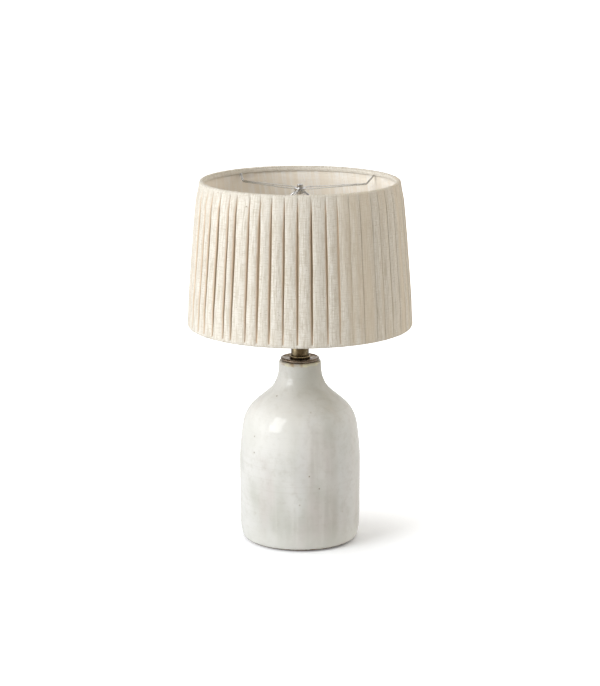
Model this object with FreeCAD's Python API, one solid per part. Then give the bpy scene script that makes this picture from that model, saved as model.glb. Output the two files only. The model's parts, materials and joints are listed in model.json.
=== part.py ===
"""Ceramic table lamp: bottle-shaped glazed body, brass cap and collar, turn-knob socket with a bulb,
harp, and a pleated linen drum shade on a three-arm spider.

Frame: origin at the centre of the pad's underside, +Z up, the lamp's front towards -Y.
All lengths in millimetres.
"""
import FreeCAD, Part
import math
import os

from FreeCAD import Vector

# Ceramic body
body_r = 96.4
body_height = 290.0
neck_r = 33.2
wall = 7.0
neck_straight = 13.0
neck_arc_r = 48.0
shoulder_arc_r = 57.0
neck_draft_deg = 3.0
shoulder_slope_deg = 50.0
belly_top_deg = 8.8
belly_low_deg = 1.6
foot_curve_deg = 15.0
foot_edge_deg = 60.0
belly_height_share = 0.40
foot_curve_r = 90.0
foot_edge_r = 9.0
lip_round = 3.3
floor_thick = 8.0
recess_depth = 18.0
foot_land = 8.0
inner_corner_r = 14.0

# Pad under the foot
pad_thick = 2.0
pad_inset = 4.0

# Hollow threaded rod through the whole stem, with its nut and washers
rod_r = 4.85
rod_bore_r = 3.3
rod_gap = 0.15
floor_hole_gap = 1.2
washer_r = 19.0
washer_thick = 2.0
lock_washer_r = 8.5
lock_washer_thick = 1.4
lock_washer_teeth = 10
lock_tooth = 1.1
nut_flats = 14.3
nut_thick = 4.0
rod_stub = 3.0

# Insulating bushing where a lead would enter, at the back of the foot
bushing_bore_r = 3.6
bushing_wall = 1.3
bushing_flange = 3.0
bushing_flange_thick = 1.4
bushing_barb = 0.5
bushing_barb_length = 1.0
bushing_gap = 0.1
bushing_height = 10.0
spotface_margin = 0.9
spotface_depth = 2.2

# Brass cap, base ring and collar on the neck
cap_r = 31.0
cap_plate = 4.0
cap_rim = 5.4
cap_rim_fade = 2.8
cap_rim_dip_share = 0.22
register_wall = 1.5
register_depth = 4.0
register_gap = 0.7
ring_r = 16.0
ring_thick = 4.0
ring_round = 0.9
collar_r = 14.3
collar_wall = 1.0
collar_length = 33.0
spigot_height = 2.0
spigot_gap = 0.1
collar_cap_thick = 1.9

# Harp: saddle, bow, seat with its stud, and the two locking sleeves
harp_height = 228.6
harp_wire_r = 1.8
harp_half_width = 50.0
saddle_half = 27.0
saddle_thick = 2.0
saddle_width = 12.0
saddle_tip_width = 6.0
saddle_arm = 11.6
saddle_bend_r = 3.0
post_height = 8.5
lap_height = 6.0
lap_gap = 0.1
sleeve_length = 14.5
sleeve_wall = 1.1
sleeve_gap = 0.25
sleeve_lip = 0.5
leg_straight = 40.0
flare_rise = 38.0
flare_r = 75.0
harp_shoulder_r = 30.0
harp_crown_lean_deg = 38.0
harp_crown_r = 8.0
harp_crown_room = 1.0
seat_r = 8.0
seat_thick = 2.0
seat_rivet_r = 4.2
stud_r = 3.1
stud_length = 7.6
stud_chamfer = 0.7

# Shade: rolled hems on wire rings, stiff lining, pleated cloth
shade_bottom_d = 355.6
shade_top_d = 315.6
shade_height = 231.0
shade_bottom_z = 350.2
hem_r = 3.4
ring_wire_r = 1.6
hem_gap = 0.5
hem_flange = 9.0
hem_flange_thick = 0.9
hem_skirt = 1.6
lining_thick = 1.0
cloth_gap = 0.1
pleat_count = 51
cloth_thick = 0.8
hem_groove_depth = 1.3
hem_groove_width = 1.6
mid_groove_width = 4.6
pleat_swell = 2.1
pleat_crown = 0.9
swell_low_share = 0.6
swell_top = 28.0
swell_bottom = 46.0
groove_floor_share = 0.45

# Spider fitter
arm_wire_r = 1.3
arm_angles_deg = (129.0, 38.5, 260.0)
arm_insets = (5.0, 15.0, 9.0)
arm_drop = 16.0
arm_bend_r = 5.0
arm_slit_gap = 0.3
hub_r = 9.5
hub_hole_r = 5.5
hub_thick = 3.4
hub_rim_round = 0.8

# Finial
finial_r = 4.8
finial_height = 5.2
finial_crown = 1.0
finial_gap = 0.1
finial_flutes = 14
flute_r = 0.5

# Running gap between bodies that rest on one another
seat_gap = 0.1

# Socket
hub_socket_r = 8.0
hub_socket_height = 7.0
shell_r = 16.4
shell_wall = 0.7
socket_cap_wall = 0.9
socket_cap_height = 17.0
socket_cap_gap = 0.1
cap_shoulder_r = 7.0
shell_length = 48.0
shell_overlap = 8.0
shell_bead = 0.8
insulator_wall = 0.6
insulator_gap = 0.1
core_r = 14.4
core_height = 25.0
core_lift = 7.0
core_flat = 11.0
core_flat_height = 13.0
core_foot_r = 10.0
core_foot_height = 3.0
screw_shell_r = 13.8
screw_shell_wall = 0.45
screw_shell_length = 23.0
shell_floor_hole_r = 6.0
contact_width = 5.0
contact_length = 9.0
contact_thick = 0.5
contact_rise = 1.8
terminal_r = 3.2
terminal_head = 1.6
terminal_shank_r = 1.8
terminal_shank = 4.0
terminal_height = 7.0
set_screw_r = 1.6
set_screw_length = 4.2
slot_width = 0.7
slot_depth = 0.8

# Switch knob, turning about -Y
knob_height = 18.0
shaft_r = 2.4
shaft_gap = 0.3
shaft_depth = 8.0
shaft_reach = 7.0
knob_r = 5.5
knob_thick = 6.0
knob_length = 14.0
knob_neck_r = 3.4
knob_neck = 2.0
knob_round = 1.4
knob_clear = 1.2

# Bulb
bulb_r = 30.0
bulb_neck_r = 13.4
bulb_neck_arc_r = 40.0
bulb_neck_straight = 3.0
glass_wall = 0.9
bulb_base_gap = 0.25
bulb_base_wall = 0.4
bulb_base_length = 21.0
bulb_tuck = 6.0
tip_r = 4.6
tip_height = 1.5
tip_gap = 0.2
bulb_insulator_height = 3.6
bulb_insulator_step = 2.2

# One overrun serves all cuts, and one reach picks an edge by the place of its centre
over = 1.0
near = 0.7

# Heights worked out from the sizes above
foot_z = pad_thick
floor_under_z = foot_z + recess_depth
floor_top_z = floor_under_z + floor_thick
body_top_z = foot_z + body_height
cap_top_z = body_top_z + cap_plate
ring_top_z = cap_top_z + ring_thick
collar_top_z = ring_top_z + collar_length
saddle_z = collar_top_z + collar_cap_thick
socket_z = saddle_z + saddle_thick
seat_z = socket_z + harp_height
cap_floor_z = socket_z + hub_socket_height
core_z = socket_z + hub_socket_height + core_lift
core_top_z = core_z + core_height
knob_z = core_z + knob_height
hub_z = seat_z + seat_gap
finial_z = hub_z + hub_thick + seat_gap
bulb_tip_z = core_top_z + contact_thick + contact_rise + tip_gap
bushing_z = foot_z + bushing_height
shade_top_z = shade_bottom_z + shade_height
top_wire_z = shade_top_z - hem_r
bottom_wire_z = shade_bottom_z + hem_r
top_wire_r = shade_top_d / 2 - hem_r
bottom_wire_r = shade_bottom_d / 2 - hem_r
slope = math.atan2(bottom_wire_r - top_wire_r, top_wire_z - bottom_wire_z)


# Drawing helpers

def at(r, z):
    """A point of a section in the XZ plane."""
    return Vector(r, 0, z)


def line(a, b):
    return Part.LineSegment(a, b).toShape()


def arc(a, middle, b):
    return Part.Arc(a, middle, b).toShape()


def polygon(points):
    """A closed outline of straight edges through the points."""
    return [line(a, b) for a, b in zip(points, points[1:] + points[:1])]


def face_of(edges):
    return Part.Face(Part.Wire(Part.__sortEdges__(edges)))


def turned(edges):
    """The solid swept by a closed section about the lamp's axis."""
    return face_of(edges).revolve(Vector(), Vector(0, 0, 1), 360)


def tube(r_out, r_in, z0, z1):
    outer = Part.makeCylinder(r_out, z1 - z0, Vector(0, 0, z0))
    if r_in <= 0:
        return outer
    return outer.cut(Part.makeCylinder(r_in, z1 - z0 + 2 * over, Vector(0, 0, z0 - over)))


def box(x0, x1, y0, y1, z0, z1):
    return Part.makeBox(x1 - x0, y1 - y0, z1 - z0, Vector(x0, y0, z0))


def corner_edges(shape, keep):
    """The edges whose centre satisfies keep."""
    return [e for e in shape.Edges if keep(e.CenterOfMass)]


def outer_rims(shape, radius, *heights):
    """The round edges of the given radius about the lamp's axis at the given heights."""
    def wanted(edge):
        b = edge.BoundBox
        flat = b.ZLength < near
        return flat and abs(b.XLength - 2 * radius) < near and any(abs(b.ZMin - z) < near for z in heights)

    return [e for e in shape.Edges if wanted(e)]


def rounded_path(points, radii):
    """Straight runs through the points, with a tangent arc of the given radius at each inner point."""
    edges = []
    start = points[0]
    for before, corner, after, radius in zip(points, points[1:], points[2:], radii):
        back = (before - corner).normalize()
        on = (after - corner).normalize()
        half = back.getAngle(on) / 2
        reach = radius / math.tan(half)
        a = corner + back * reach
        b = corner + on * reach
        middle = corner + (back + on).normalize() * (radius / math.sin(half) - radius)
        edges.append(line(start, a))
        edges.append(arc(a, middle, b))
        start = b
    edges.append(line(start, points[-1]))
    return Part.Wire(edges)


def rod_along(path, radius):
    """A round wire of the given radius along a path."""
    first = path.Edges[0]
    start = first.valueAt(first.FirstParameter)
    section = Part.Wire(Part.makeCircle(radius, start, first.tangentAt(first.FirstParameter)))
    return path.makePipeShell([section], True, True)


# Ceramic body

def wall_stations():
    """Stations down the outside of the body, from the lip to the foot.

    Each is (r, z, tilt, middle): tilt is how far the wall leans outwards going down, and middle is
    the point half way round the arc that leads to it, or None after a straight.
    """
    tilt = math.radians(neck_draft_deg)
    steep = math.radians(shoulder_slope_deg)
    high = math.radians(belly_top_deg)
    low = math.radians(belly_low_deg)
    curve = math.radians(foot_curve_deg)
    edge = math.radians(foot_edge_deg)
    stations = [(neck_r, body_top_z - lip_round, tilt, None)]

    def straight(length):
        r, z, lean, _ = stations[-1]
        stations.append((r + length * math.sin(lean), z - length * math.cos(lean), lean, None))

    def bend(radius, new_lean):
        """An arc to a new lean: the wall flares when it grows and turns in when it shrinks."""
        r, z, lean, _ = stations[-1]
        side = 1 if new_lean > lean else -1
        centre_r = r + side * radius * math.cos(lean)
        centre_z = z + side * radius * math.sin(lean)
        half = (lean + new_lean) / 2
        points = [(centre_r - side * radius * math.cos(a), centre_z - side * radius * math.sin(a))
                  for a in (half, new_lean)]
        stations.append((points[1][0], points[1][1], new_lean, points[0]))

    straight(neck_straight)
    bend(neck_arc_r, steep)
    turn_in = shoulder_arc_r * (math.cos(high) - math.cos(steep))
    below_z = stations[-1][1] - shoulder_arc_r * (math.sin(steep) - math.sin(high))
    belly_z = foot_z + body_height * belly_height_share
    belly_sag = math.tan(high / 2)
    reach = body_r - stations[-1][0] - turn_in
    fall = below_z - belly_z
    run = (reach - fall * belly_sag) / (math.sin(steep) - math.cos(steep) * belly_sag)
    straight(run)
    bend(shoulder_arc_r, high)
    bend((stations[-1][1] - belly_z) / math.sin(high), 0)
    curve_fall = foot_curve_r * (math.sin(curve) - math.sin(low))
    edge_fall = foot_edge_r * (math.sin(edge) - math.sin(curve))
    bend((belly_z - foot_z - curve_fall - edge_fall) / math.sin(low), -low)
    bend(foot_curve_r, -curve)
    bend(foot_edge_r, -edge)
    return stations


def wall_edges(stations, inset):
    """The body's wall moved in by inset, as lines and arcs."""
    def moved(r, z, lean):
        return at(r - inset * math.cos(lean), z - inset * math.sin(lean))

    edges = []
    for (r0, z0, lean0, _), (r1, z1, lean1, middle) in zip(stations, stations[1:]):
        a = moved(r0, z0, lean0)
        b = moved(r1, z1, lean1)
        if middle is None:
            edges.append(line(a, b))
        else:
            edges.append(arc(a, moved(middle[0], middle[1], (lean0 + lean1) / 2), b))
    return edges


def ends(edge):
    """An edge's two end points, the higher one first."""
    a, b = edge.Vertexes[0].Point, edge.Vertexes[-1].Point
    return (a, b) if a.z > b.z else (b, a)


def wall_radius(z):
    """The body's outer radius at a height."""
    for edge in wall_edges(wall_stations(), 0):
        top, bottom = ends(edge)
        if bottom.z <= z <= top.z:
            ray = line(at(0, z), at(2 * body_r, z))
            return edge.distToShape(ray)[1][0][0].x
    return body_r


def ceramic_body():
    stations = wall_stations()
    outer = wall_edges(stations, 0)
    top = ends(outer[0])[0]
    foot = ends(outer[-1])[1]
    half = math.sqrt(0.5) * lip_round
    shelf = at(top.x - lip_round, body_top_z)
    lip = arc(top, at(top.x - lip_round + half, body_top_z - lip_round + half), shelf)
    solid = turned(outer + [lip, line(shelf, at(0, body_top_z)), line(at(0, body_top_z), at(0, foot.z)),
                            line(at(0, foot.z), foot)])
    solid = solid.cut(cavity(stations))
    solid = solid.cut(tube(foot.x - foot_land, 0, foot.z - over, floor_under_z))
    solid = solid.cut(tube(rod_r + floor_hole_gap, 0, floor_under_z - over, floor_top_z + over))
    bushing = Vector(0, 0, bushing_z)
    back = Vector(0, 1, 0)
    hole_r = bushing_bore_r + bushing_wall + bushing_gap
    solid = solid.cut(Part.makeCylinder(hole_r, 2 * body_r, bushing, back))
    flat_r = bushing_bore_r + bushing_wall + bushing_flange + spotface_margin
    seat = bushing + back * bushing_seat_y()
    return solid.cut(Part.makeCylinder(flat_r, body_r, seat, back))


def cavity(stations):
    """The hollow inside the body, rounded into its floor."""
    corner_z = floor_top_z + inner_corner_r
    above = box(-2 * body_r, 2 * body_r, -body_r, body_r, corner_z, body_top_z + over)
    inner = [edge.common(above).Edges[0] for edge in wall_edges(stations, wall) if ends(edge)[0].z > corner_z]
    top = ends(inner[0])[0]
    low = ends(inner[-1])[1]
    half = math.sqrt(0.5) * inner_corner_r
    centre = at(low.x - inner_corner_r, corner_z)
    floor = at(centre.x, floor_top_z)
    return turned(inner + [line(top, at(top.x, body_top_z + over)),
                           line(at(top.x, body_top_z + over), at(0, body_top_z + over)),
                           line(at(0, body_top_z + over), at(0, floor_top_z)),
                           line(at(0, floor_top_z), floor), arc(floor, centre + at(half, -half), low)])


def bushing_seat_y():
    """The flat that the bushing's flange bears on, let into the wall of the foot."""
    return wall_radius(bushing_z) - spotface_depth


def foot_outer_r():
    return ends(wall_edges(wall_stations(), 0)[-1])[1].x


def felt_pad():
    return tube(foot_outer_r() - pad_inset, 0, 0, pad_thick)


def cord_bushing():
    inner_y = math.sqrt((foot_outer_r() - foot_land) ** 2 - (bushing_bore_r + bushing_wall) ** 2)
    seat_y = bushing_seat_y()
    body = bushing_bore_r + bushing_wall
    barb_y = inner_y - bushing_barb_length
    tail_y = barb_y - bushing_barb_length
    back = Vector(0, 1, 0)
    solid = Part.makeCylinder(body, seat_y - tail_y, Vector(0, tail_y, bushing_z), back)
    seat = Vector(0, seat_y, bushing_z)
    flange = Part.makeCylinder(body + bushing_flange, bushing_flange_thick, seat, back)
    flange = flange.makeFillet(bushing_flange_thick / 2,
                               corner_edges(flange, lambda c: c.y > seat_y + bushing_flange_thick / 2))
    barb = Part.makeCone(body - bushing_barb, body + bushing_barb, bushing_barb_length,
                         Vector(0, barb_y - bushing_gap, bushing_z), back)
    bore = Part.makeCylinder(bushing_bore_r, 2 * body_r, Vector(0, 0, bushing_z), back)
    return solid.fuse([flange, barb]).cut(bore).removeSplitter()


# Rod and its fasteners

def threaded_rod():
    nut_bottom = floor_under_z - washer_thick - lock_washer_thick - nut_thick
    return tube(rod_r, rod_bore_r, nut_bottom - rod_stub, cap_floor_z + over)


def bottom_washer():
    return tube(washer_r, rod_r + rod_gap, floor_under_z - washer_thick, floor_under_z)


def bottom_lock_washer():
    top = floor_under_z - washer_thick
    washer = tube(lock_washer_r, rod_r + rod_gap, top - lock_washer_thick, top)
    notch = box(lock_washer_r - lock_tooth, lock_washer_r + over, -lock_tooth / 2, lock_tooth / 2,
                top - lock_washer_thick - over, top + over)
    turn = 360 / lock_washer_teeth
    return washer.cut([notch.rotated(Vector(), Vector(0, 0, 1), turn * i) for i in range(lock_washer_teeth)])


def hex_prism(flats, z0, z1):
    corner = flats / math.sqrt(3)
    sides = 6
    points = [Vector(corner * math.cos(i * math.tau / sides), corner * math.sin(i * math.tau / sides), z0)
              for i in range(sides)]
    return Part.Face(Part.Wire(polygon(points))).extrude(Vector(0, 0, z1 - z0))


def bottom_nut():
    top = floor_under_z - washer_thick - lock_washer_thick
    bottom = top - nut_thick
    nut = hex_prism(nut_flats, bottom, top)
    corner = nut_flats / math.sqrt(3)
    bevel = corner - nut_flats / 2
    turned_blank = turned(polygon([at(0, bottom), at(nut_flats / 2, bottom), at(corner, bottom + bevel),
                                   at(corner, top), at(0, top)]))
    return nut.common(turned_blank).cut(tube(rod_r + rod_gap, 0, bottom - over, top + over))


# Cap and collar

def vase_cap():
    """A disc with a rolled rim that stands a little above its plate, and a ring that centres it."""
    half = cap_rim / 2
    rim_r = cap_r - half
    z0 = body_top_z
    hole = rod_r + rod_gap
    inner = neck_r - wall - register_gap
    fade = at(rim_r - cap_rim_fade, z0 + cap_plate)
    crest = at(rim_r, z0 + cap_rim)
    rise = cap_rim - cap_plate
    dip = at(rim_r - cap_rim_fade / 2, z0 + cap_plate + rise * (cap_rim_dip_share + 0.5))
    edges = [line(at(hole, z0), at(hole, z0 + cap_plate)), line(at(hole, z0 + cap_plate), fade),
             arc(fade, dip, crest),
             arc(crest, at(cap_r, z0 + half), at(rim_r, z0)), line(at(rim_r, z0), at(inner, z0)),
             line(at(inner, z0), at(inner, z0 - register_depth)),
             line(at(inner, z0 - register_depth), at(inner - register_wall, z0 - register_depth)),
             line(at(inner - register_wall, z0 - register_depth), at(inner - register_wall, z0)),
             line(at(inner - register_wall, z0), at(hole, z0))]
    return turned(edges)


def base_ring():
    ring = tube(ring_r, rod_r + rod_gap, cap_top_z, ring_top_z)
    ring = ring.makeFillet(ring_round, outer_rims(ring, ring_r, ring_top_z))
    spigot_r = collar_r - collar_wall - spigot_gap
    spigot = tube(spigot_r, rod_r + rod_gap, ring_top_z, ring_top_z + spigot_height)
    return ring.fuse(spigot).removeSplitter()


def collar_tube():
    return tube(collar_r, collar_r - collar_wall, ring_top_z, collar_top_z)


def collar_cap():
    plate = tube(collar_r, rod_r + rod_gap, collar_top_z, saddle_z)
    spigot = tube(collar_r - collar_wall - spigot_gap, rod_r + rod_gap, collar_top_z - spigot_height,
                  collar_top_z)
    return plate.fuse(spigot).removeSplitter()


# Harp

def harp_saddle():
    """A strip bent up at both ends, each end carrying half of a lapped post."""
    z0 = saddle_z
    top = socket_z + saddle_arm
    outer = saddle_half + saddle_thick / 2
    inner = saddle_half - saddle_thick / 2
    strip = box(-outer, outer, -saddle_width / 2, saddle_width / 2, z0, top)
    strip = strip.cut(box(-inner, inner, -saddle_width, saddle_width, z0 + saddle_thick, top + over))
    strip = strip.makeFillet(saddle_bend_r, corner_edges(
        strip, lambda c: abs(abs(c.x) - outer) < near and abs(c.z - z0) < near))
    strip = strip.makeFillet(saddle_bend_r - saddle_thick, corner_edges(
        strip, lambda c: abs(abs(c.x) - inner) < near and abs(c.z - z0 - saddle_thick) < near))
    strip = strip.cut(saddle_tapers(inner, outer, top))
    strip = strip.cut(tube(rod_r + rod_gap, 0, z0 - over, z0 + saddle_thick + over))
    posts = []
    for side in (-1, 1):
        post = Part.makeCylinder(harp_wire_r, post_height, Vector(side * saddle_half, 0, top))
        lap_z = top + post_height - lap_height
        outside = box(0, 2 * harp_wire_r, -2 * harp_wire_r, 2 * harp_wire_r, lap_z, top + post_height + over)
        if side < 0:
            outside = outside.mirror(Vector(), Vector(1, 0, 0))
        posts.append(post.cut(outside.translated(Vector(side * (saddle_half - lap_gap / 2), 0, 0))))
    return strip.fuse(posts).removeSplitter()


def saddle_tapers(inner, outer, top):
    """The waste beside each upright, which narrows from the strip's width to the tip's."""
    waste = []
    base = socket_z + saddle_bend_r
    for side in (-1, 1):
        for hand in (-1, 1):
            tip = hand * saddle_tip_width / 2
            points = [Vector(0, hand * saddle_width / 2, base), Vector(0, hand * saddle_width, base),
                      Vector(0, hand * saddle_width, top + over), Vector(0, tip, top + over),
                      Vector(0, tip, top)]
            wedge = Part.Face(Part.Wire(polygon(points))).extrude(Vector(2 * saddle_thick + over, 0, 0))
            start = side * saddle_half - saddle_thick - over / 2
            waste.append(wedge.translated(Vector(start, 0, 0)))
    return waste


def harp_bow():
    wire_z = seat_z - seat_thick - harp_wire_r
    lap_z = socket_z + saddle_arm + post_height - lap_height + lap_gap
    flare_lean = math.atan2(harp_half_width - saddle_half, flare_rise)
    flare_z = socket_z + leg_straight + flare_r * math.tan(flare_lean / 2)
    crown_lean = math.radians(harp_crown_lean_deg)
    crown_half = seat_rivet_r + harp_crown_room + harp_crown_r * math.tan(crown_lean / 2)
    crown_drop = (harp_half_width - crown_half) * math.tan(crown_lean)
    half = [at(saddle_half, lap_z), at(saddle_half, flare_z), at(harp_half_width, flare_z + flare_rise),
            at(harp_half_width, wire_z - crown_drop), at(crown_half, wire_z)]
    other = [at(-p.x, p.z) for p in reversed(half)]
    bends = (flare_r, flare_r, harp_shoulder_r, harp_crown_r)
    radii = bends + tuple(reversed(bends))
    bow = rod_along(rounded_path(half + other, radii), harp_wire_r)
    laps = []
    for side in (-1, 1):
        inside = box(-2 * harp_wire_r, 0, -2 * harp_wire_r, 2 * harp_wire_r, lap_z - over,
                     lap_z + lap_height)
        if side < 0:
            inside = inside.mirror(Vector(), Vector(1, 0, 0))
        laps.append(inside.translated(Vector(side * (saddle_half + lap_gap / 2), 0, 0)))
    return bow.cut(laps)


def harp_seat():
    """A dished washer on the bow's crown, with a rivet collar wrapped under the wire."""
    plate = tube(seat_r, 0, seat_z - seat_thick, seat_z)
    plate = plate.makeFillet(seat_thick / 3, corner_edges(plate, lambda c: c.z > seat_z - seat_thick / 2))
    low = seat_z - seat_thick - 2 * harp_wire_r - seat_thick / 2
    collar = tube(seat_rivet_r, 0, low, seat_z - seat_thick)
    channel = Part.makeCylinder(harp_wire_r, 2 * seat_rivet_r + 2 * over,
                                Vector(-seat_rivet_r - over, 0, seat_z - seat_thick - harp_wire_r),
                                Vector(1, 0, 0))
    return plate.fuse(collar).cut(channel).removeSplitter()


def harp_stud():
    stud = tube(stud_r, 0, seat_z, seat_z + stud_length)
    return stud.makeChamfer(stud_chamfer, corner_edges(stud, lambda c: c.z > seat_z + stud_length / 2))


def harp_sleeve(side):
    bore = harp_wire_r + sleeve_gap
    z0 = socket_z + saddle_arm + seat_gap
    outer = bore + sleeve_wall
    lip = sleeve_lip
    edges = polygon([at(bore, z0), at(outer + lip, z0), at(outer + lip, z0 + 2 * lip),
                     at(outer, z0 + 3 * lip), at(outer, z0 + sleeve_length - lip),
                     at(outer - lip, z0 + sleeve_length), at(bore, z0 + sleeve_length)])
    return turned(edges).translated(Vector(side * saddle_half, 0, 0))


# Socket

def socket_cap():
    """A spun cup on a threaded hub."""
    inner_r = shell_r + socket_cap_gap
    outer_r = inner_r + socket_cap_wall
    hole = rod_r + rod_gap
    z1 = cap_floor_z
    top = z1 + socket_cap_height
    turn = cap_shoulder_r
    half = math.sqrt(0.5)
    outer = [line(at(hub_socket_r, socket_z), at(hub_socket_r, z1)),
             line(at(hub_socket_r, z1), at(outer_r - turn, z1)),
             arc(at(outer_r - turn, z1), at(outer_r - turn + turn * half, z1 + turn - turn * half),
                 at(outer_r, z1 + turn)),
             line(at(outer_r, z1 + turn), at(outer_r, top))]
    small = turn - socket_cap_wall
    centre = at(outer_r - turn, z1 + turn)
    inner = [line(at(outer_r, top), at(inner_r, top)), line(at(inner_r, top), centre + at(small, 0)),
             arc(centre + at(small, 0), centre + at(small * half, -small * half), centre + at(0, -small)),
             line(centre + at(0, -small), at(hole, z1 + socket_cap_wall)),
             line(at(hole, z1 + socket_cap_wall), at(hole, socket_z)),
             line(at(hole, socket_z), at(hub_socket_r, socket_z))]
    cap = turned(outer + inner)
    screw_hole = Part.makeCylinder(set_screw_r + rod_gap, 2 * hub_socket_r,
                                   Vector(0, 0, socket_z + hub_socket_height / 2), Vector(1, 0, 0))
    return cap.cut(screw_hole)


def socket_set_screw():
    z = socket_z + hub_socket_height / 2
    start = rod_r + rod_gap / 2
    screw = Part.makeCylinder(set_screw_r, set_screw_length, Vector(start, 0, z), Vector(1, 0, 0))
    end = start + set_screw_length
    return screw.cut(box(end - slot_depth, end + over, -slot_width / 2, slot_width / 2,
                         z - 2 * set_screw_r, z + 2 * set_screw_r))


def shell_bottom():
    return cap_floor_z + socket_cap_height - shell_overlap


def shell_top():
    return shell_bottom() + shell_length


def knob_notch(radius):
    """The notch for the knob's shaft, open at the lower edge of the sleeve it is cut in."""
    reach = 2 * shell_r
    hole = Part.makeCylinder(radius, reach, Vector(0, 0, knob_z), Vector(0, -1, 0))
    return hole.fuse(box(-radius, radius, -reach, 0, shell_bottom() - over, knob_z))


def socket_shell():
    inner = shell_r - shell_wall
    z0 = shell_bottom()
    z1 = shell_top()
    edges = polygon([at(inner, z0), at(shell_r, z0), at(shell_r, z1 - 3 * shell_bead),
                     at(shell_r + shell_bead, z1 - 2 * shell_bead), at(shell_r + shell_bead, z1 - shell_bead),
                     at(shell_r, z1), at(inner, z1)])
    return turned(edges).cut(knob_notch(shaft_r + knob_clear))


def socket_insulator():
    outer = shell_r - shell_wall - insulator_gap
    sleeve = tube(outer, outer - insulator_wall, shell_bottom(), shell_top() - shell_bead)
    return sleeve.cut(knob_notch(shaft_r + knob_clear))


def socket_core():
    """The moulded switch body, with flats for its wire terminals and a bore for the knob's shaft."""
    core = tube(core_r, 0, core_z, core_top_z)
    for side in (-1, 1):
        start, end = sorted((side * core_flat, side * 2 * core_r))
        core = core.cut(box(start, end, -core_r, core_r, core_z - over, core_z + core_flat_height))
        seat = Vector(side * core_flat, 0, core_z + terminal_height)
        core = core.cut(Part.makeCylinder(terminal_shank_r, terminal_shank, seat, Vector(-side, 0, 0)))
    core = core.fuse(tube(core_foot_r, 0, core_z - core_foot_height, core_z))
    bore_end = Vector(0, shaft_gap - core_r + shaft_depth, knob_z)
    bore = Part.makeCylinder(shaft_r + shaft_gap, 2 * core_r, bore_end, Vector(0, -1, 0))
    return core.cut(bore).removeSplitter()


def terminal_screws():
    z = core_z + terminal_height
    screws = []
    for side in (-1, 1):
        out = Vector(side, 0, 0)
        seat = Vector(side * core_flat, 0, z)
        head = Part.makeCylinder(terminal_r, terminal_head, seat, out)
        shank = Part.makeCylinder(terminal_shank_r, terminal_shank, seat, out * -1)
        start, end = sorted((side * (core_flat + terminal_head - slot_depth), side * 2 * core_r))
        slot = box(start, end, -terminal_r * 2, terminal_r * 2, z - slot_width / 2, z + slot_width / 2)
        screws.append(head.fuse(shank).cut(slot).removeSplitter())
    return Part.makeCompound(screws)


def screw_shell():
    """The threaded cup that the bulb screws into, open in its floor for the centre contact."""
    cup = tube(screw_shell_r, screw_shell_r - screw_shell_wall, core_top_z, core_top_z + screw_shell_length)
    floor = tube(screw_shell_r, shell_floor_hole_r, core_top_z, core_top_z + screw_shell_wall)
    return cup.fuse(floor).removeSplitter()


def centre_contact():
    """A springy brass tongue, folded up under the bulb's tip."""
    z = core_top_z
    half = contact_length / 2
    t = contact_thick
    points = [(-half, 0), (half, 0), (half, t), (half - 2 * t, t), (half - 2 * t, contact_rise),
              (0, contact_rise + t), (-half + 2 * t, contact_rise), (-half + 2 * t, contact_rise - t),
              (0, contact_rise), (half - 4 * t, contact_rise - t), (half - 4 * t, t), (-half, t)]
    section = Part.Face(Part.Wire(polygon([at(x, z + h) for x, h in points])))
    tongue = section.extrude(Vector(0, contact_width, 0))
    return tongue.translated(Vector(0, -contact_width / 2, 0))


# Switch knob

def knob_shaft():
    start = Vector(0, -core_r + shaft_depth, knob_z)
    return Part.makeCylinder(shaft_r, shaft_depth + shaft_reach, start, Vector(0, -1, 0))


def switch_knob():
    """A flat thumb key on a round neck, bored for the shaft."""
    face_y = -shell_r - knob_clear
    neck = Part.makeCylinder(knob_neck_r, knob_neck, Vector(0, face_y, knob_z), Vector(0, -1, 0))
    key_y = face_y - knob_neck
    key = Part.makeCylinder(knob_r, knob_length, Vector(0, key_y, knob_z), Vector(0, -1, 0))
    slab = box(-2 * knob_r, 2 * knob_r, key_y - knob_length, key_y, knob_z - knob_thick / 2,
               knob_z + knob_thick / 2)
    key = key.common(slab)
    key = key.makeFillet(knob_round, corner_edges(key, lambda c: c.y < key_y - knob_length / 2))
    knob = neck.fuse(key).removeSplitter()
    end_y = -core_r - shaft_reach
    bore = Part.makeCylinder(shaft_r, -face_y, Vector(0, end_y, knob_z), Vector(0, 1, 0))
    return knob.cut(bore)


# Bulb

def bulb_base_z():
    return bulb_tip_z + tip_height + bulb_insulator_height


def bulb_base_r():
    return screw_shell_r - screw_shell_wall - bulb_base_gap


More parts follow.
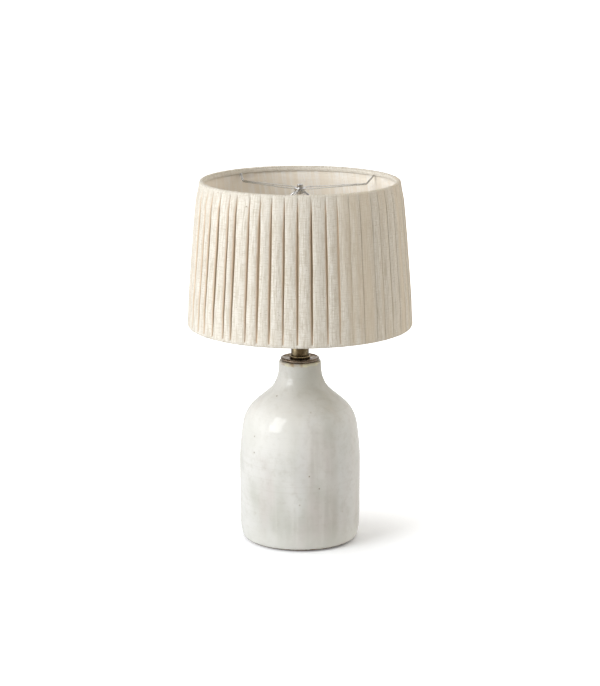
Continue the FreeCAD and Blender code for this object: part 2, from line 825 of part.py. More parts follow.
def bulb_glass():
    """A pear-shaped envelope: a sphere run into a round neck by a concave arc."""
    def envelope(inset):
        ball = bulb_r - inset
        neck = bulb_neck_r - inset
        flare = bulb_neck_arc_r + inset
        top = bulb_base_z() + bulb_base_length
        flare_z = top + bulb_neck_straight
        centre_z = flare_z + math.sqrt((bulb_r + bulb_neck_arc_r) ** 2 - (bulb_neck_r + bulb_neck_arc_r) ** 2)
        lean = math.atan2(bulb_neck_r + bulb_neck_arc_r, centre_z - flare_z)
        meet = at(ball * math.sin(lean), centre_z - ball * math.cos(lean))
        swing = math.pi / 2 - lean
        middle = at(bulb_neck_r + bulb_neck_arc_r - flare * math.cos(swing / 2),
                    flare_z + flare * math.sin(swing / 2))
        crown = at(ball * math.sin((math.pi + lean) / 2), centre_z - ball * math.cos((math.pi + lean) / 2))
        tuck_r = bulb_base_r() - bulb_base_wall - bulb_base_gap - inset
        return turned([line(at(0, top - bulb_tuck), at(tuck_r, top - bulb_tuck)),
                       line(at(tuck_r, top - bulb_tuck), at(tuck_r, top)),
                       line(at(tuck_r, top), at(neck, top + glass_wall)),
                       line(at(neck, top + glass_wall), at(neck, flare_z)),
                       arc(at(neck, flare_z), middle, meet),
                       arc(meet, crown, at(0, centre_z + ball)),
                       line(at(0, centre_z + ball), at(0, top - bulb_tuck))])

    return envelope(0).cut(envelope(glass_wall))


def bulb_base():
    z0 = bulb_base_z()
    outer = bulb_base_r()
    return tube(outer, outer - bulb_base_wall, z0, z0 + bulb_base_length)


def bulb_insulator():
    z1 = bulb_base_z()
    z0 = bulb_tip_z + tip_height
    outer = bulb_base_r() - bulb_base_wall
    return turned(polygon([at(0, z0), at(tip_r, z0), at(outer, z1), at(outer, z1 + bulb_insulator_step),
                           at(0, z1 + bulb_insulator_step)]))


def bulb_tip():
    z1 = bulb_tip_z + tip_height
    edges = [arc(at(0, bulb_tip_z), at(tip_r * math.sqrt(0.5), bulb_tip_z + tip_height / 3), at(tip_r, z1)),
             line(at(tip_r, z1), at(0, z1)), line(at(0, z1), at(0, bulb_tip_z))]
    return turned(edges)


# Shade

def shade_point(u, v, top=True):
    """A section point beside a hem wire: u outwards from the shade's wall and v up along its slope."""
    r, z = (top_wire_r, top_wire_z) if top else (bottom_wire_r, bottom_wire_z)
    return at(r + u * math.cos(slope) - v * math.sin(slope), z + u * math.sin(slope) + v * math.cos(slope))


def hem_wire(top):
    r, z = (top_wire_r, top_wire_z) if top else (bottom_wire_r, bottom_wire_z)
    return Part.makeTorus(r, ring_wire_r, Vector(0, 0, z))


def hem(top):
    """Cloth rolled over the wire, with a short skirt outside and a flange inside the lining."""
    hand = 1 if top else -1
    bore = ring_wire_r + hem_gap
    face = lining_thick / 2 + hem_gap

    def p(u, v):
        return shade_point(u, hand * v, top)

    mouth = math.sqrt(bore ** 2 - face ** 2)
    inner = -face - hem_flange_thick
    edges = [arc(p(-hem_r, 0), p(0, hem_r), p(hem_r, 0)), line(p(hem_r, 0), p(hem_r, -hem_skirt)),
             line(p(hem_r, -hem_skirt), p(face, -hem_skirt)), line(p(face, -hem_skirt), p(face, -mouth)),
             arc(p(face, -mouth), p(0, bore), p(-face, -mouth)),
             line(p(-face, -mouth), p(-face, -hem_flange)),
             line(p(-face, -hem_flange), p(inner, -hem_flange)),
             line(p(inner, -hem_flange), p(inner, -hem_skirt)), line(p(inner, -hem_skirt), p(-hem_r, 0))]
    band = turned(edges)
    if top:
        band = band.cut([arm_slit(angle) for angle in arm_angles_deg])
    return band


def arm_slit(angle_deg):
    """The waste where the hem is slit open for a spider arm, inwards from the top wire."""
    half = arm_wire_r + arm_slit_gap
    slit = box(top_wire_r - hem_r - over, top_wire_r, -half, half, top_wire_z - hem_flange - over,
               top_wire_z + half)
    return slit.rotated(Vector(), Vector(0, 0, 1), angle_deg)


def shade_lining():
    """The stiff lining between the two wires, which holds the pleats out."""
    gap = ring_wire_r + hem_gap
    half = lining_thick / 2
    return turned(polygon([shade_point(-half, -gap), shade_point(half, -gap), shade_point(half, gap, False),
                           shade_point(-half, gap, False)]))


def wall_r(u, z):
    """The radius at a height of the cone that lies u outwards from the shade's wall."""
    return top_wire_r + u / math.cos(slope) + (top_wire_z - z) * math.tan(slope)


def pleat_ring(z, swell_share, groove_width, floor_u):
    """One flat level of the pleated cloth: a crowned panel and a flat-bottomed groove, repeated round."""
    edge = wall_r(hem_r + pleat_swell * swell_share, z)
    crown = edge + pleat_crown * swell_share
    floor = wall_r(floor_u, z)
    half_groove = groove_width / edge / 2
    pitch = math.tau / pleat_count
    offsets = ((-pitch / 2, floor, -groove_floor_share), (-pitch / 2, floor, groove_floor_share),
               (-pitch / 2, edge, 1), (0, crown, 0), (pitch / 2, edge, -1))
    points = []
    for i in range(pleat_count):
        for base, r, share in offsets:
            angle = i * pitch + base + share * half_groove
            points.append(Vector(r * math.cos(angle), r * math.sin(angle), z))
    return Part.Wire(polygon(points))


def shade_fabric():
    """Pleated cloth: grooves stand open between the hems and are pressed almost shut at them."""
    inner = lining_thick / 2 + cloth_gap
    low = shade_point(hem_r, hem_skirt + hem_gap, False).z
    high = shade_point(inner, -hem_skirt - hem_gap).z
    hem_floor = hem_r - hem_groove_depth
    mid_floor = inner + cloth_thick
    levels = [pleat_ring(low, 0, hem_groove_width, hem_floor),
              pleat_ring(bottom_wire_z + swell_bottom, swell_low_share, mid_groove_width, mid_floor),
              pleat_ring(top_wire_z - swell_top, 1, mid_groove_width, mid_floor),
              pleat_ring(high, 0, hem_groove_width, hem_floor)]
    cloth = Part.makeLoft(levels, True, True)
    inside = turned(polygon([at(0, low - over), at(wall_r(inner, low - over), low - over),
                             at(wall_r(inner, high + over), high + over), at(0, high + over)]))
    return cloth.cut(inside)


# Spider

def arm(index):
    """One spider arm: welded inside the top wire, dropped, bent, and run in to the hub."""
    angle = math.radians(arm_angles_deg[index])
    weld_r = top_wire_r - ring_wire_r - arm_wire_r
    bend_r = weld_r - arm_insets[index]
    points = [at(weld_r, top_wire_z), at(bend_r, top_wire_z - arm_drop), at(hub_r, hub_z + hub_thick / 2)]
    path = rounded_path(points, (arm_bend_r,))
    rod = rod_along(path, arm_wire_r)
    return rod.rotated(Vector(), Vector(0, 0, 1), math.degrees(angle))


def spider_arms():
    hub = tube(hub_r, 0, hub_z - over, hub_z + hub_thick + over)
    return Part.makeCompound([arm(i).cut(hub) for i in range(len(arm_angles_deg))])


def spider_hub():
    hub = tube(hub_r, hub_hole_r, hub_z, hub_z + hub_thick)
    return hub.makeFillet(hub_rim_round, outer_rims(hub, hub_r, hub_z, hub_z + hub_thick))


def finial():
    """A low knurled cap nut on the stud."""
    top = finial_z + finial_height
    blank = tube(finial_r, 0, finial_z, top)
    blank = blank.makeFillet(finial_crown, corner_edges(blank, lambda c: c.z > top - over))
    flute = Part.makeCylinder(flute_r, finial_height + 2 * over, Vector(finial_r, 0, finial_z - over))
    turn = 360 / finial_flutes
    blank = blank.cut([flute.rotated(Vector(), Vector(0, 0, 1), turn * i) for i in range(finial_flutes)])
    depth = seat_z + stud_length + finial_gap - finial_z
    return blank.cut(tube(stud_r + finial_gap, 0, finial_z - over, finial_z + depth))


PARTS = {
    "ceramic_body": ceramic_body,
    "felt_pad": felt_pad,
    "cord_bushing": cord_bushing,
    "threaded_rod": threaded_rod,
    "bottom_washer": bottom_washer,
    "bottom_lock_washer": bottom_lock_washer,
    "bottom_nut": bottom_nut,
    "vase_cap": vase_cap,
    "base_ring": base_ring,
    "collar_tube": collar_tube,
    "collar_cap": collar_cap,
    "harp_saddle": harp_saddle,
    "harp_bow": harp_bow,
    "harp_seat": harp_seat,
    "harp_stud": harp_stud,
    "harp_sleeve_left": lambda: harp_sleeve(-1),
    "harp_sleeve_right": lambda: harp_sleeve(1),
    "socket_cap": socket_cap,
    "socket_set_screw": socket_set_screw,
    "socket_shell": socket_shell,
    "socket_insulator": socket_insulator,
    "socket_core": socket_core,
    "terminal_screws": terminal_screws,
    "screw_shell": screw_shell,
    "centre_contact": centre_contact,
    "knob_shaft": knob_shaft,
    "switch_knob": switch_knob,
    "bulb_glass": bulb_glass,
    "bulb_base": bulb_base,
    "bulb_insulator": bulb_insulator,
    "bulb_tip": bulb_tip,
    "top_wire": lambda: hem_wire(True),
    "bottom_wire": lambda: hem_wire(False),
    "top_hem": lambda: hem(True),
    "bottom_hem": lambda: hem(False),
    "shade_lining": shade_lining,
    "shade_fabric": shade_fabric,
    "spider_arms": spider_arms,
    "spider_hub": spider_hub,
    "finial": finial,
}


def main():
    os.makedirs("parts", exist_ok=True)
    for name, make in PARTS.items():
        shape = make()
        shape.exportStep(os.path.join("parts", name + ".step"))
        print(f"{name}: {len(shape.Solids)} solid, {shape.Volume / 1000:.2f} cm3, valid {shape.isValid()}")


main()
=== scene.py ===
"""Looks of the ceramic table lamp: reactive glaze, pleated linen shade, aged brass and plated fittings.

Frame: metres, +Z up, origin at the centre of the pad's underside, the front towards -Y.
"""
import json
import math
import random
from collections import namedtuple

import bpy
import numpy as np
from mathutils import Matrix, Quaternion, Vector, noise


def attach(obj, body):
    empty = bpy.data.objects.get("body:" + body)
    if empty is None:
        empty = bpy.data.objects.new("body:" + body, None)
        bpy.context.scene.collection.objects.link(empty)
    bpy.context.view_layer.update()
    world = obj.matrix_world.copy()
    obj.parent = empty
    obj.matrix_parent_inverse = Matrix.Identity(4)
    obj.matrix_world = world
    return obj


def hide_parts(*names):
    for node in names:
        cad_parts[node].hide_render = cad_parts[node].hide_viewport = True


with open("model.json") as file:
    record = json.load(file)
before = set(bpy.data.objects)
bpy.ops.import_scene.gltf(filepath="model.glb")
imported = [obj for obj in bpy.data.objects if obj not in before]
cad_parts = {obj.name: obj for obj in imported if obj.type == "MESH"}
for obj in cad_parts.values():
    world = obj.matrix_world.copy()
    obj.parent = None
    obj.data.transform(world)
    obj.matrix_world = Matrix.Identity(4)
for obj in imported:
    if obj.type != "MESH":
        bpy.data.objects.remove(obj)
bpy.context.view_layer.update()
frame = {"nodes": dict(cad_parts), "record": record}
MM = 0.001

# Camera, fitted to the photograph
CAMERA_DISTANCE = 3.5
CAMERA_HEIGHT = 1.11192
CAMERA_PITCH_DEG = 12.76
FOCAL_PIXELS = 2255.5
PICTURE_HEIGHT = 686
SENSOR = 36.0

# Key light: its (azimuth, elevation) in degrees, and its place and size in metres
KEY_DEG = (-53.0, 29.0)
KEY_DISTANCE = 3.4
KEY_SIZE = (1.6, 2.7)
KEY_AIM = (0.0, 0.0, 0.3)
KEY_POWER = 79.0
KEY_COLOR = (0.965, 0.98, 1.0)

# Light from the studio's walls: (azimuth, elevation) in degrees, level, and how narrow it is
WALL_LIGHTS = (((-84, 8), 2.35, 6.0), ((0, 0), 0.62, 2.0), ((110, 25), 1.95, 3.0))

# Where the white backdrop and the warm light set in, along a direction's own Y and X
BACKDROP_FROM_Y = (-0.25, 0.15)
WHITE = (1.0, 1.0, 1.0, 1.0)
WARM_FROM_X = (-0.4, 0.4)
WARM = (1.0, 0.945, 0.87, 1.0)

# Floor, in metres: its glow hides it from the camera, and fades where the lamp's shadow lies
FLOOR_SIZE = 40
FLOOR_COLOR = (0.83, 0.85, 0.87, 1.0)
SHADOW_MIDDLE = (0.05, -0.03, 0.0)
SHADOW_REACH = 0.335
FLOOR_IN_MIRRORS = 0.35

# Shade, in millimetres: where its wires lie, and how its cloth is folded
TOP_WIRE_R = 154.4
BOTTOM_WIRE_R = 174.4
TOP_WIRE_Z = 577.8
BOTTOM_WIRE_Z = 353.6
HEM_R = 3.4
HEM_FLANGE = 4.4
CLOTH_OVER_HEM = 0.35
CLOTH_THICK = 0.5
LINING_OUT = 0.4
LINING_IN = 0.5
LINING_TO_WIRE = 2.2
LINING_ROWS = 12
ON_LINING = LINING_OUT + CLOTH_THICK + 0.1 - (HEM_R + CLOTH_OVER_HEM)
LEAN = math.atan2(BOTTOM_WIRE_R - TOP_WIRE_R, TOP_WIRE_Z - BOTTOM_WIRE_Z)
PLEATS = 51
GAPS_SEEN_DEG = (-71.0, -62.8, -56.6, -49.3, -41.8, -36.7, -28.2, -21.8, -15.3, -8.3, -1.1,
                 6.1, 14.0, 20.4, 27.1, 33.9, 42.0, 47.6)
GAP_SPREAD_DEG = 0.7

# The cloth's rows: degrees round the hems' wires, and steps up the wall; and the steps across a panel
UNDER_HEM_DEG = (-150, -128, -106, -84, -62, -42, -24, -10)
OVER_HEM_DEG = (8, 20, 34, 50, 68, 88, 108, 128, 150)
WALL_STEPS = 38
PANEL_STEPS = 5

# Where folds and gaps fade out: degrees round the hems, and shares of the wall's height
UNDER_FOLD_FADE_DEG = 64
UNDER_GAP_FADE_DEG = 48
OVER_FOLD_FADE_DEG = 55
GAP_OPENS = (-0.32, 0.52)
GAP_CLOSES = (0.66, 1.0)
SWELL_STARTS = (0.0, 0.2)
SWELL_GROWS = (0.1, 0.8)
SWELL_ENDS = (0.87, 0.995)

# The pleats lie slack and shallow on one side of the shade, and are full, with darker painted shade in their
# folds, on the other
SLACK_RISES_DEG = (6.0, 36.0)
SLACK_FALLS_DEG = (104.0, 118.0)
SLACK_DEPTH = 0.075
FULL_FRONT_DEG = (-55.0, -10.0)
FULL_BACK_DEG = (-165.0, -125.0)
FULL_DEPTH = 1.5
FULL_FOLD_SHADE = 1.5

# What the seed draws for each gap and pleat, as shares, and the cloth's unevenness in millimetres
PLEAT_SEED = 51
WIDTHS_DRAWN = (0.78, 1.2)
DEPTHS_DRAWN = (0.85, 1.1)
LIFTS_DRAWN = (0.75, 1.2)
LEANS_DRAWN = (-0.45, 0.45)
GAP_UNEVEN = 0.22
GAP_WANDER = 0.35
CLOTH_WAVE = 0.16

# The hems' puckers: their seeds, (how many round, their depth) in millimetres, and their rise and fall
HEM_SEEDS = {"top": 7, "bottom": 8}
HEM_WAVES = ((9, 0.12), (30, 0.10))
HEM_WAVE_R = 160.0
HEM_LIFT = (12, 0.1)

# The cross-section of a gap and its two folds, in millimetres
GAP_HEM = 0.75
GAP_MIDDLE = 3.0
DEPTH_HEM = 0.7
DEPTH_MIDDLE = 3.6
SWELL = 2.1
CROWN = 0.9
SLOPE_WIDTH = 4.2
CRISP_WIDTH = 1.3
SOFT_WIDTH = 4.6
CRISP_DROP = 1.1
FOLD_TUCK = 1.2

# The linen's weave, in metres
WARP_PITCH = 0.00062
WEFT_PITCH = 0.00058

# Body, in millimetres
GLAZE_FOOT = 4.4
GLAZE_LIP = 291.2
GLAZE_THICK = 0.5
GLAZE_OVERLAP = 0.4
GLAZE_COLUMNS = 256
GLAZE_ROW = 1.7
BUSHING_Z = 12.0
BUSHING_HOLE_R = 8.9

# Fittings, in millimetres
BODY_TOP_Z = 292.0
CAP_R = 31.0
CAP_PLATE = 4.0
CAP_RIM = 5.4
CAP_FADE = 2.8
REGISTER_R = 25.5
ROD_HOLE_R = 5.0
RING_R = 16.0
RING_THICK = 4.0
COLLAR_R = 14.3
COLLAR_LENGTH = 33.0
HUB_R = 9.5
ARM_HUB_Z = 567.3
ARM_WELD_R = 151.5
ARM_DROP = 16.0
ARM_BEND_R = 5.0
ARM_ANGLES_DEG = (129.0, 38.5, 260.0)
ARM_INSETS = (5.0, 15.0, 9.0)
ARM_STRAND_R = 0.84
ARM_APART = 0.98
ARM_APART_AT_HUB = 1.75
ARM_TWIST = 1300.0
ARM_START = math.radians(78)
ARM_STEP = 0.7
LAMP_THREAD = 3.63
ROD_THREAD = 0.94

# Painted highlights on the brass collar and ring, as (azimuth and spread in degrees, level)
PAINTED_HIGHLIGHTS = ((-40.0, 10.0, 1.0), (50.0, 16.0, 0.45), (150.0, 14.0, 0.9))


# Meshes

def added(name, mesh, material):
    """A piece made of a mesh, in the scene."""
    mesh.materials.append(material)
    mesh.validate()
    piece = bpy.data.objects.new(name, mesh)
    bpy.context.scene.collection.objects.link(piece)
    return piece


def grid_piece(name, points, material, flat=None, shut=False):
    """A piece from points[row][column] in metres, closed round its columns.

    shut joins the last row to the first.
    flat[row][column] gives each point's place on the unfolded cloth, with one more column than points.
    """
    rows, columns = points.shape[:2]
    mesh = bpy.data.meshes.new(name)
    low = np.arange(rows if shut else rows - 1)
    side = np.arange(columns)
    row, column = np.meshgrid(low, side, indexing="ij")
    above, beside = (row + 1) % rows, (column + 1) % columns
    faces = np.stack([row * columns + column, row * columns + beside,
                      above * columns + beside, above * columns + column], -1).reshape(-1, 4)
    mesh.from_pydata(points.reshape(-1, 3).tolist(), [], faces.tolist())
    mesh.polygons.foreach_set("use_smooth", np.ones(len(faces), bool))
    if flat is not None:
        corners = np.stack([flat[row, column], flat[row, column + 1],
                            flat[above, column + 1], flat[above, column]], 2).reshape(-1, 2)
        mesh.uv_layers.new(name="weave").uv.foreach_set("vector", corners.astype(np.float32).ravel())
    return added(name, mesh, material)


def turned(name, section, material, columns=192, shut=True, flat=False):
    """A section of (radius, height) in millimetres, turned about the lamp's axis; flat gives it a weave."""
    angles = np.arange(columns) * math.tau / columns
    r = np.array([p[0] for p in section])[:, None] * MM
    z = np.array([p[1] for p in section])[:, None] * MM
    points = np.stack([r * np.cos(angles), r * np.sin(angles), z + 0 * angles], -1)
    cloth = None
    if flat:
        lengths = [math.dist(a, b) for a, b in zip(section, section[1:])]
        along = np.concatenate([[0], np.cumsum(lengths)]) * MM
        around = np.arange(columns + 1) * math.tau / columns
        cloth = np.stack(np.broadcast_arrays(r * around, along[:, None]), -1)
    return grid_piece(name, points, material, cloth, shut)


def keep(piece, name, values):
    """Keeps a value for each point of a piece, for its material to read."""
    piece.data.attributes.new(name, "FLOAT", "POINT").data.foreach_set("value", values)


def fitted(piece, body, node):
    """Lets a piece ride on a body and in the place of a CAD node."""
    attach(piece, body)
    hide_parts(node)


def smooth(low, high, x):
    """0 below low, 1 above high, and an eased rise between."""
    t = min(1.0, max(0.0, (x - low) / (high - low)))
    return t * t * (3 - 2 * t)


def mix(a, b, t):
    """a at 0 and b at 1."""
    return a + (b - a) * t


# Materials

class Finish:
    """A material under construction."""

    def __init__(self, name, **shader):
        self.material = bpy.data.materials.new(name)
        self.material.use_nodes = True
        self.tree = self.material.node_tree
        self.shader = self.tree.nodes["Principled BSDF"]
        for socket, value in shader.items():
            self.shader.inputs[socket.replace("_", " ")].default_value = value
        self.place = self.node("ShaderNodeTexCoord").outputs["Object"]

    def node(self, kind, settings=(), **inputs):
        """A new node; an input's name has _ for each space."""
        made = self.tree.nodes.new(kind)
        for key, value in dict(settings).items():
            setattr(made, key, value)
        for key, value in inputs.items():
            self.put(made.inputs[key.replace("_", " ")], value)
        return made

    def put(self, socket, value):
        """Links a socket to another, or sets it to a value."""
        if isinstance(value, bpy.types.NodeSocket):
            self.tree.links.new(value, socket)
        else:
            socket.default_value = value

    def scaled(self, scale, source=None):
        """Coordinates stretched by a factor along each axis."""
        moved = self.node("ShaderNodeMapping", Vector=source or self.place, Scale=scale)
        return moved.outputs["Vector"]

    def noise(self, scale, detail=2.0, roughness=0.5, source=None, distortion=0.0):
        made = self.node("ShaderNodeTexNoise", Vector=source or self.place, Scale=scale, Detail=detail,
                         Roughness=roughness, Distortion=distortion)
        return made.outputs["Fac"]

    def ramp(self, value, low, high, at_low=0.0, at_high=1.0):
        """value mapped from low..high to at_low..at_high, and held there outside."""
        made = self.node("ShaderNodeMapRange", {"interpolation_type": "SMOOTHSTEP"}, Value=value)
        for socket, number in zip(("From Min", "From Max", "To Min", "To Max"), (low, high, at_low, at_high)):
            made.inputs[socket].default_value = number
        return made.outputs["Result"]

    def maths(self, operation, a, b):
        made = self.node("ShaderNodeMath", {"operation": operation})
        self.put(made.inputs[0], a)
        self.put(made.inputs[1], b)
        return made.outputs["Value"]

    def add(self, a, b):
        return self.maths("ADD", a, b)

    def times(self, a, b):
        return self.maths("MULTIPLY", a, b)

    def blend(self, share, a, b):
        """Colour a where share is 0 and b where it is 1."""
        made = self.node("ShaderNodeMix", {"data_type": "RGBA"})
        self.put(made.inputs[0], share)
        self.put(made.inputs[6], a)
        self.put(made.inputs[7], b)
        return made.outputs[2]

    def spots(self, scale, size, share):
        """Round spots of radius size (in cells) in the given share of the cells."""
        cell = self.node("ShaderNodeTexVoronoi", Vector=self.place, Scale=scale)
        dot = self.ramp(cell.outputs["Distance"], size * 0.55, size, 1.0, 0.0)
        picked = self.node("ShaderNodeSeparateColor", Color=cell.outputs["Color"]).outputs["Red"]
        return self.times(dot, self.ramp(picked, 1 - share, 1 - share * 0.8))

    def along(self, axis):
        """The place on one axis, in metres."""
        return self.node("ShaderNodeSeparateXYZ", Vector=self.place).outputs[axis]

    def bump(self, height, distance, under=None):
        """A normal bent by a height of the given depth in metres, on top of another normal."""
        made = self.node("ShaderNodeBump", Height=height, Distance=distance)
        if under is not None:
            self.put(made.inputs["Normal"], under)
        return made.outputs["Normal"]

    def wave(self, source, frequency, direction):
        """Even waves along an axis, so many to the metre."""
        made = self.node("ShaderNodeTexWave", {"bands_direction": direction}, Vector=source,
                         Scale=frequency * math.tau / 20)
        return made.outputs["Fac"]

    def kept(self, name):
        """The values that the piece keeps under a name."""
        return self.node("ShaderNodeAttribute", {"attribute_name": name}).outputs["Fac"]

    def finish(self, color=None, roughness=None, normal=None):
        for socket, value in (("Base Color", color), ("Roughness", roughness), ("Normal", normal)):
            if value is not None:
                self.put(self.shader.inputs[socket], value)
        return self.material


def rgb(red, green, blue):
    return (red, green, blue, 1.0)


def mixed(a, b, t):
    """Colour a at 0 and b at 1."""
    return tuple(mix(p, q, t) for p, q in zip(a, b))


def glaze():
    """Off-white reactive glaze: cloudy, streaked downwards, specked with iron, breaking tan at its edges, with
    painted shade up the neck and painted light on the shoulder.
    """
    f = Finish("glaze", Coat_Weight=0.66, Coat_Roughness=0.115, Specular_IOR_Level=0.0)
    clouds = f.noise(7.0, 3.0, 0.55, f.scaled((1.0, 1.0, 0.7)), 0.3)
    blush = f.noise(11.0, 3.0, 0.6, f.scaled((1.0, 1.0, 0.45)), 0.3)
    runs = f.noise(17.0, 2.0, 0.5, f.scaled((1.0, 1.0, 0.06)), 0.1)
    streaks = f.noise(60.0, 3.0, 0.6, f.scaled((1.0, 1.0, 0.05)))
    grain = f.noise(95.0, 5.0, 0.65)
    rings = f.noise(3.0, 4.0, 0.7, f.scaled((1.0, 1.0, 90.0)))
    wear_and_painted_light = f.noise(70.0, 4.0, 0.65)
    z, across = f.along("Z"), f.along("X")

    # Each layer: what shows it, from where to where, how strong, its colour
    color = f.blend(f.ramp(clouds, 0.36, 0.60), rgb(0.690, 0.682, 0.648), rgb(0.505, 0.503, 0.445))
    for source, low, high, strength, tone in (
            (blush, 0.48, 0.66, 0.8, rgb(0.600, 0.560, 0.525)),
            (runs, 0.46, 0.66, 0.65, rgb(0.72, 0.73, 0.715)),
            (streaks, 0.48, 0.70, 0.35, rgb(0.72, 0.705, 0.66)),
            (grain, 0.45, 0.70, 0.28, rgb(0.47, 0.45, 0.385)),
            (rings, 0.54, 0.70, 0.13, rgb(0.43, 0.39, 0.32))):
        color = f.blend(f.ramp(source, low, high, 0.0, strength), color, tone)

    # Painted shade up the neck, under the lampshade and stronger on the right, away from the key light;
    # painted light on the shoulder, stronger on the left; and paler just above the foot
    neck = f.times(f.ramp(z, 0.205, 0.265, 0.0, 0.52), f.ramp(across, -0.028, 0.012, 0.2, 1.0))
    color = f.blend(neck, color, rgb(0.44, 0.43, 0.35))
    painted_light_and_pale_foot = f.times(f.ramp(z, 0.135, 0.185), f.ramp(z, 0.215, 0.250, 0.4, 0.0))
    painted_light_and_pale_foot = f.times(painted_light_and_pale_foot, f.ramp(across, -0.02, 0.05, 1.0, 0.1))
    painted_light_and_pale_foot = f.add(painted_light_and_pale_foot, f.ramp(z, 0.004, 0.045, 0.5, 0.0))
    color = f.blend(painted_light_and_pale_foot, color, rgb(0.775, 0.765, 0.715))

    # Broken to tan and brown where it thins out at the lip and at the foot
    edge = f.add(z, f.ramp(wear_and_painted_light, 0.3, 0.7, -0.0012, 0.0012))
    lip = f.times(f.ramp(edge, 0.2868, 0.2892), f.ramp(wear_and_painted_light, 0.36, 0.60, 0.1, 0.85))
    burnt = f.blend(f.ramp(f.noise(60.0, 2.0), 0.44, 0.62), rgb(0.70, 0.66, 0.47), rgb(0.40, 0.29, 0.17))
    color = f.blend(lip, color, burnt)
    foot = f.times(f.ramp(edge, 0.0100, 0.0035), f.ramp(wear_and_painted_light, 0.50, 0.70, 0.0, 0.7))
    color = f.blend(foot, color, rgb(0.50, 0.39, 0.27))
    color = f.blend(f.ramp(edge, 0.0046, 0.0030), color, rgb(0.20, 0.14, 0.09))

    # Iron specks: cells to the metre, size, share of the cells, strength, colour
    for scale, size, share, strength, tone in (
            (58.0, 0.15, 0.3, 0.3, rgb(0.45, 0.40, 0.31)),
            (58.0, 0.075, 0.3, 0.75, rgb(0.17, 0.13, 0.095)),
            (150.0, 0.12, 0.12, 0.22, rgb(0.34, 0.27, 0.20)),
            (330.0, 0.2, 0.16, 0.16, rgb(0.42, 0.37, 0.29))):
        color = f.blend(f.times(f.spots(scale, size, share), strength), color, tone)

    pits = f.bump(f.spots(150.0, 0.11, 0.06), -0.00008)
    skin = f.bump(f.noise(240.0, 2.0), 0.00003, pits)
    waves = f.bump(f.noise(38.0, 2.0, 0.5, f.scaled((1.0, 1.0, 1.6))), 0.0003, skin)
    return f.finish(color, f.ramp(grain, 0.3, 0.7, 0.24, 0.34), f.bump(clouds, 0.0008, waves))


def linen(name, light, shade, fleck, painted_light_bands=0.0):
    """Natural linen: plain weave with slubs and flecks, in the flat cloth's own coordinates.

    "fold" paints shade into the cloth's folds, in two steps: tan shade, then a dark crease shadow; "thin"
    paints warm light in bands where it hangs slack, on the shaded side.
    """
    f = Finish(name, Sheen_Weight=0.08, Sheen_Roughness=0.5, IOR=1.4, Specular_IOR_Level=0.15)
    cloth = f.node("ShaderNodeUVMap", {"uv_map": "weave"}).outputs["UV"]

    def threads(across, along, detail, roughness=0.5):
        return f.noise(1.0, detail, roughness, f.scaled((across, along, 1.0), cloth))

    weft = threads(70.0, 620.0, 3.0, 0.65)
    warp = threads(480.0, 30.0, 3.0, 0.65)
    color = f.blend(f.ramp(warp, 0.40, 0.66, 0.0, 0.9), light, shade)
    for source, low, high, strength, tone in (
            (weft, 0.46, 0.70, 0.7, shade),
            (threads(1100.0, 700.0, 2.0, 0.7), 0.45, 0.75, 0.5, shade),
            (threads(90.0, 520.0, 1.0), 0.64, 0.76, 0.6, rgb(0.93, 0.89, 0.82)),
            (threads(240.0, 460.0, 2.0), 0.66, 0.76, 0.75, fleck),
            (threads(38.0, 7.0, 2.0), 0.38, 0.64, 0.28, mixed(shade, light, 0.45)),
            # Painted shade in the folds: tan where they open, then a dark crease shadow where they close
            (f.kept("fold"), 0.0, 0.75, 0.85, rgb(0.75, 0.58, 0.41)),
            (f.kept("fold"), 0.74, 1.0, 0.8, rgb(0.33, 0.25, 0.165))):
        color = f.blend(f.ramp(source, low, high, 0.0, strength), color, tone)
    # Painted warm light, in bands where the pleats lie slack on the shaded side
    painted_warm_light = f.times(f.kept("thin"), f.ramp(threads(45.0, 2.5, 2.0, 0.6), 0.36, 0.64, 0.1, 0.6))
    color = f.blend(painted_warm_light, color, rgb(0.76, 0.65, 0.49))
    # Painted bands of light and shade: the pleats' shadows seen through the lining
    if painted_light_bands:
        bands = threads(90.0, 0.8, 2.0, 0.6)
        color = f.blend(f.ramp(bands, 0.38, 0.64, 0.0, painted_light_bands), color, shade)
    weave = f.add(f.wave(cloth, 1 / WARP_PITCH, "X"), f.wave(cloth, 1 / WEFT_PITCH, "Y"))
    grain = f.add(f.times(weave, 0.25), f.add(warp, weft))
    return f.finish(color, 0.9, f.bump(grain, 0.0004))


def metal(name, color, dark, roughness, patina=0.5, scale=60.0, brushed=None, wear_and_painted_light=None, thread=None):
    """Plated or aged metal: patina in patches, fine scratches, and roughness that follows the patches.

    The edge colour goes on the points whose "edge" is 1, where it paints highlights and a dark reflection on
    the brass, and wear on the ring's bead; thread is the pitch of a fine screw thread along Z.
    """
    f = Finish(name, Metallic=1.0)
    patches = f.noise(scale, 4.0, 0.6)
    fine = f.noise(900.0, 2.0, 0.5, f.scaled(brushed) if brushed else None)
    share = f.times(f.ramp(patches, 0.40, 0.68), patina)
    tone = f.blend(share, color, dark)
    tone = f.blend(f.ramp(fine, 0.5, 0.8, 0.0, 0.3 * patina + 0.1), tone, dark)
    if wear_and_painted_light:
        tone = f.blend(f.times(f.kept("edge"), f.ramp(patches, 0.3, 0.6, 0.9, 0.4)), tone, wear_and_painted_light)
    rough = f.ramp(patches, 0.3, 0.7, roughness * 0.8, roughness * 1.4)
    under = f.bump(f.wave(f.place, 1 / thread, "Z"), thread * 0.4) if thread else None
    return f.finish(tone, rough, f.bump(fine, 0.00002, under))


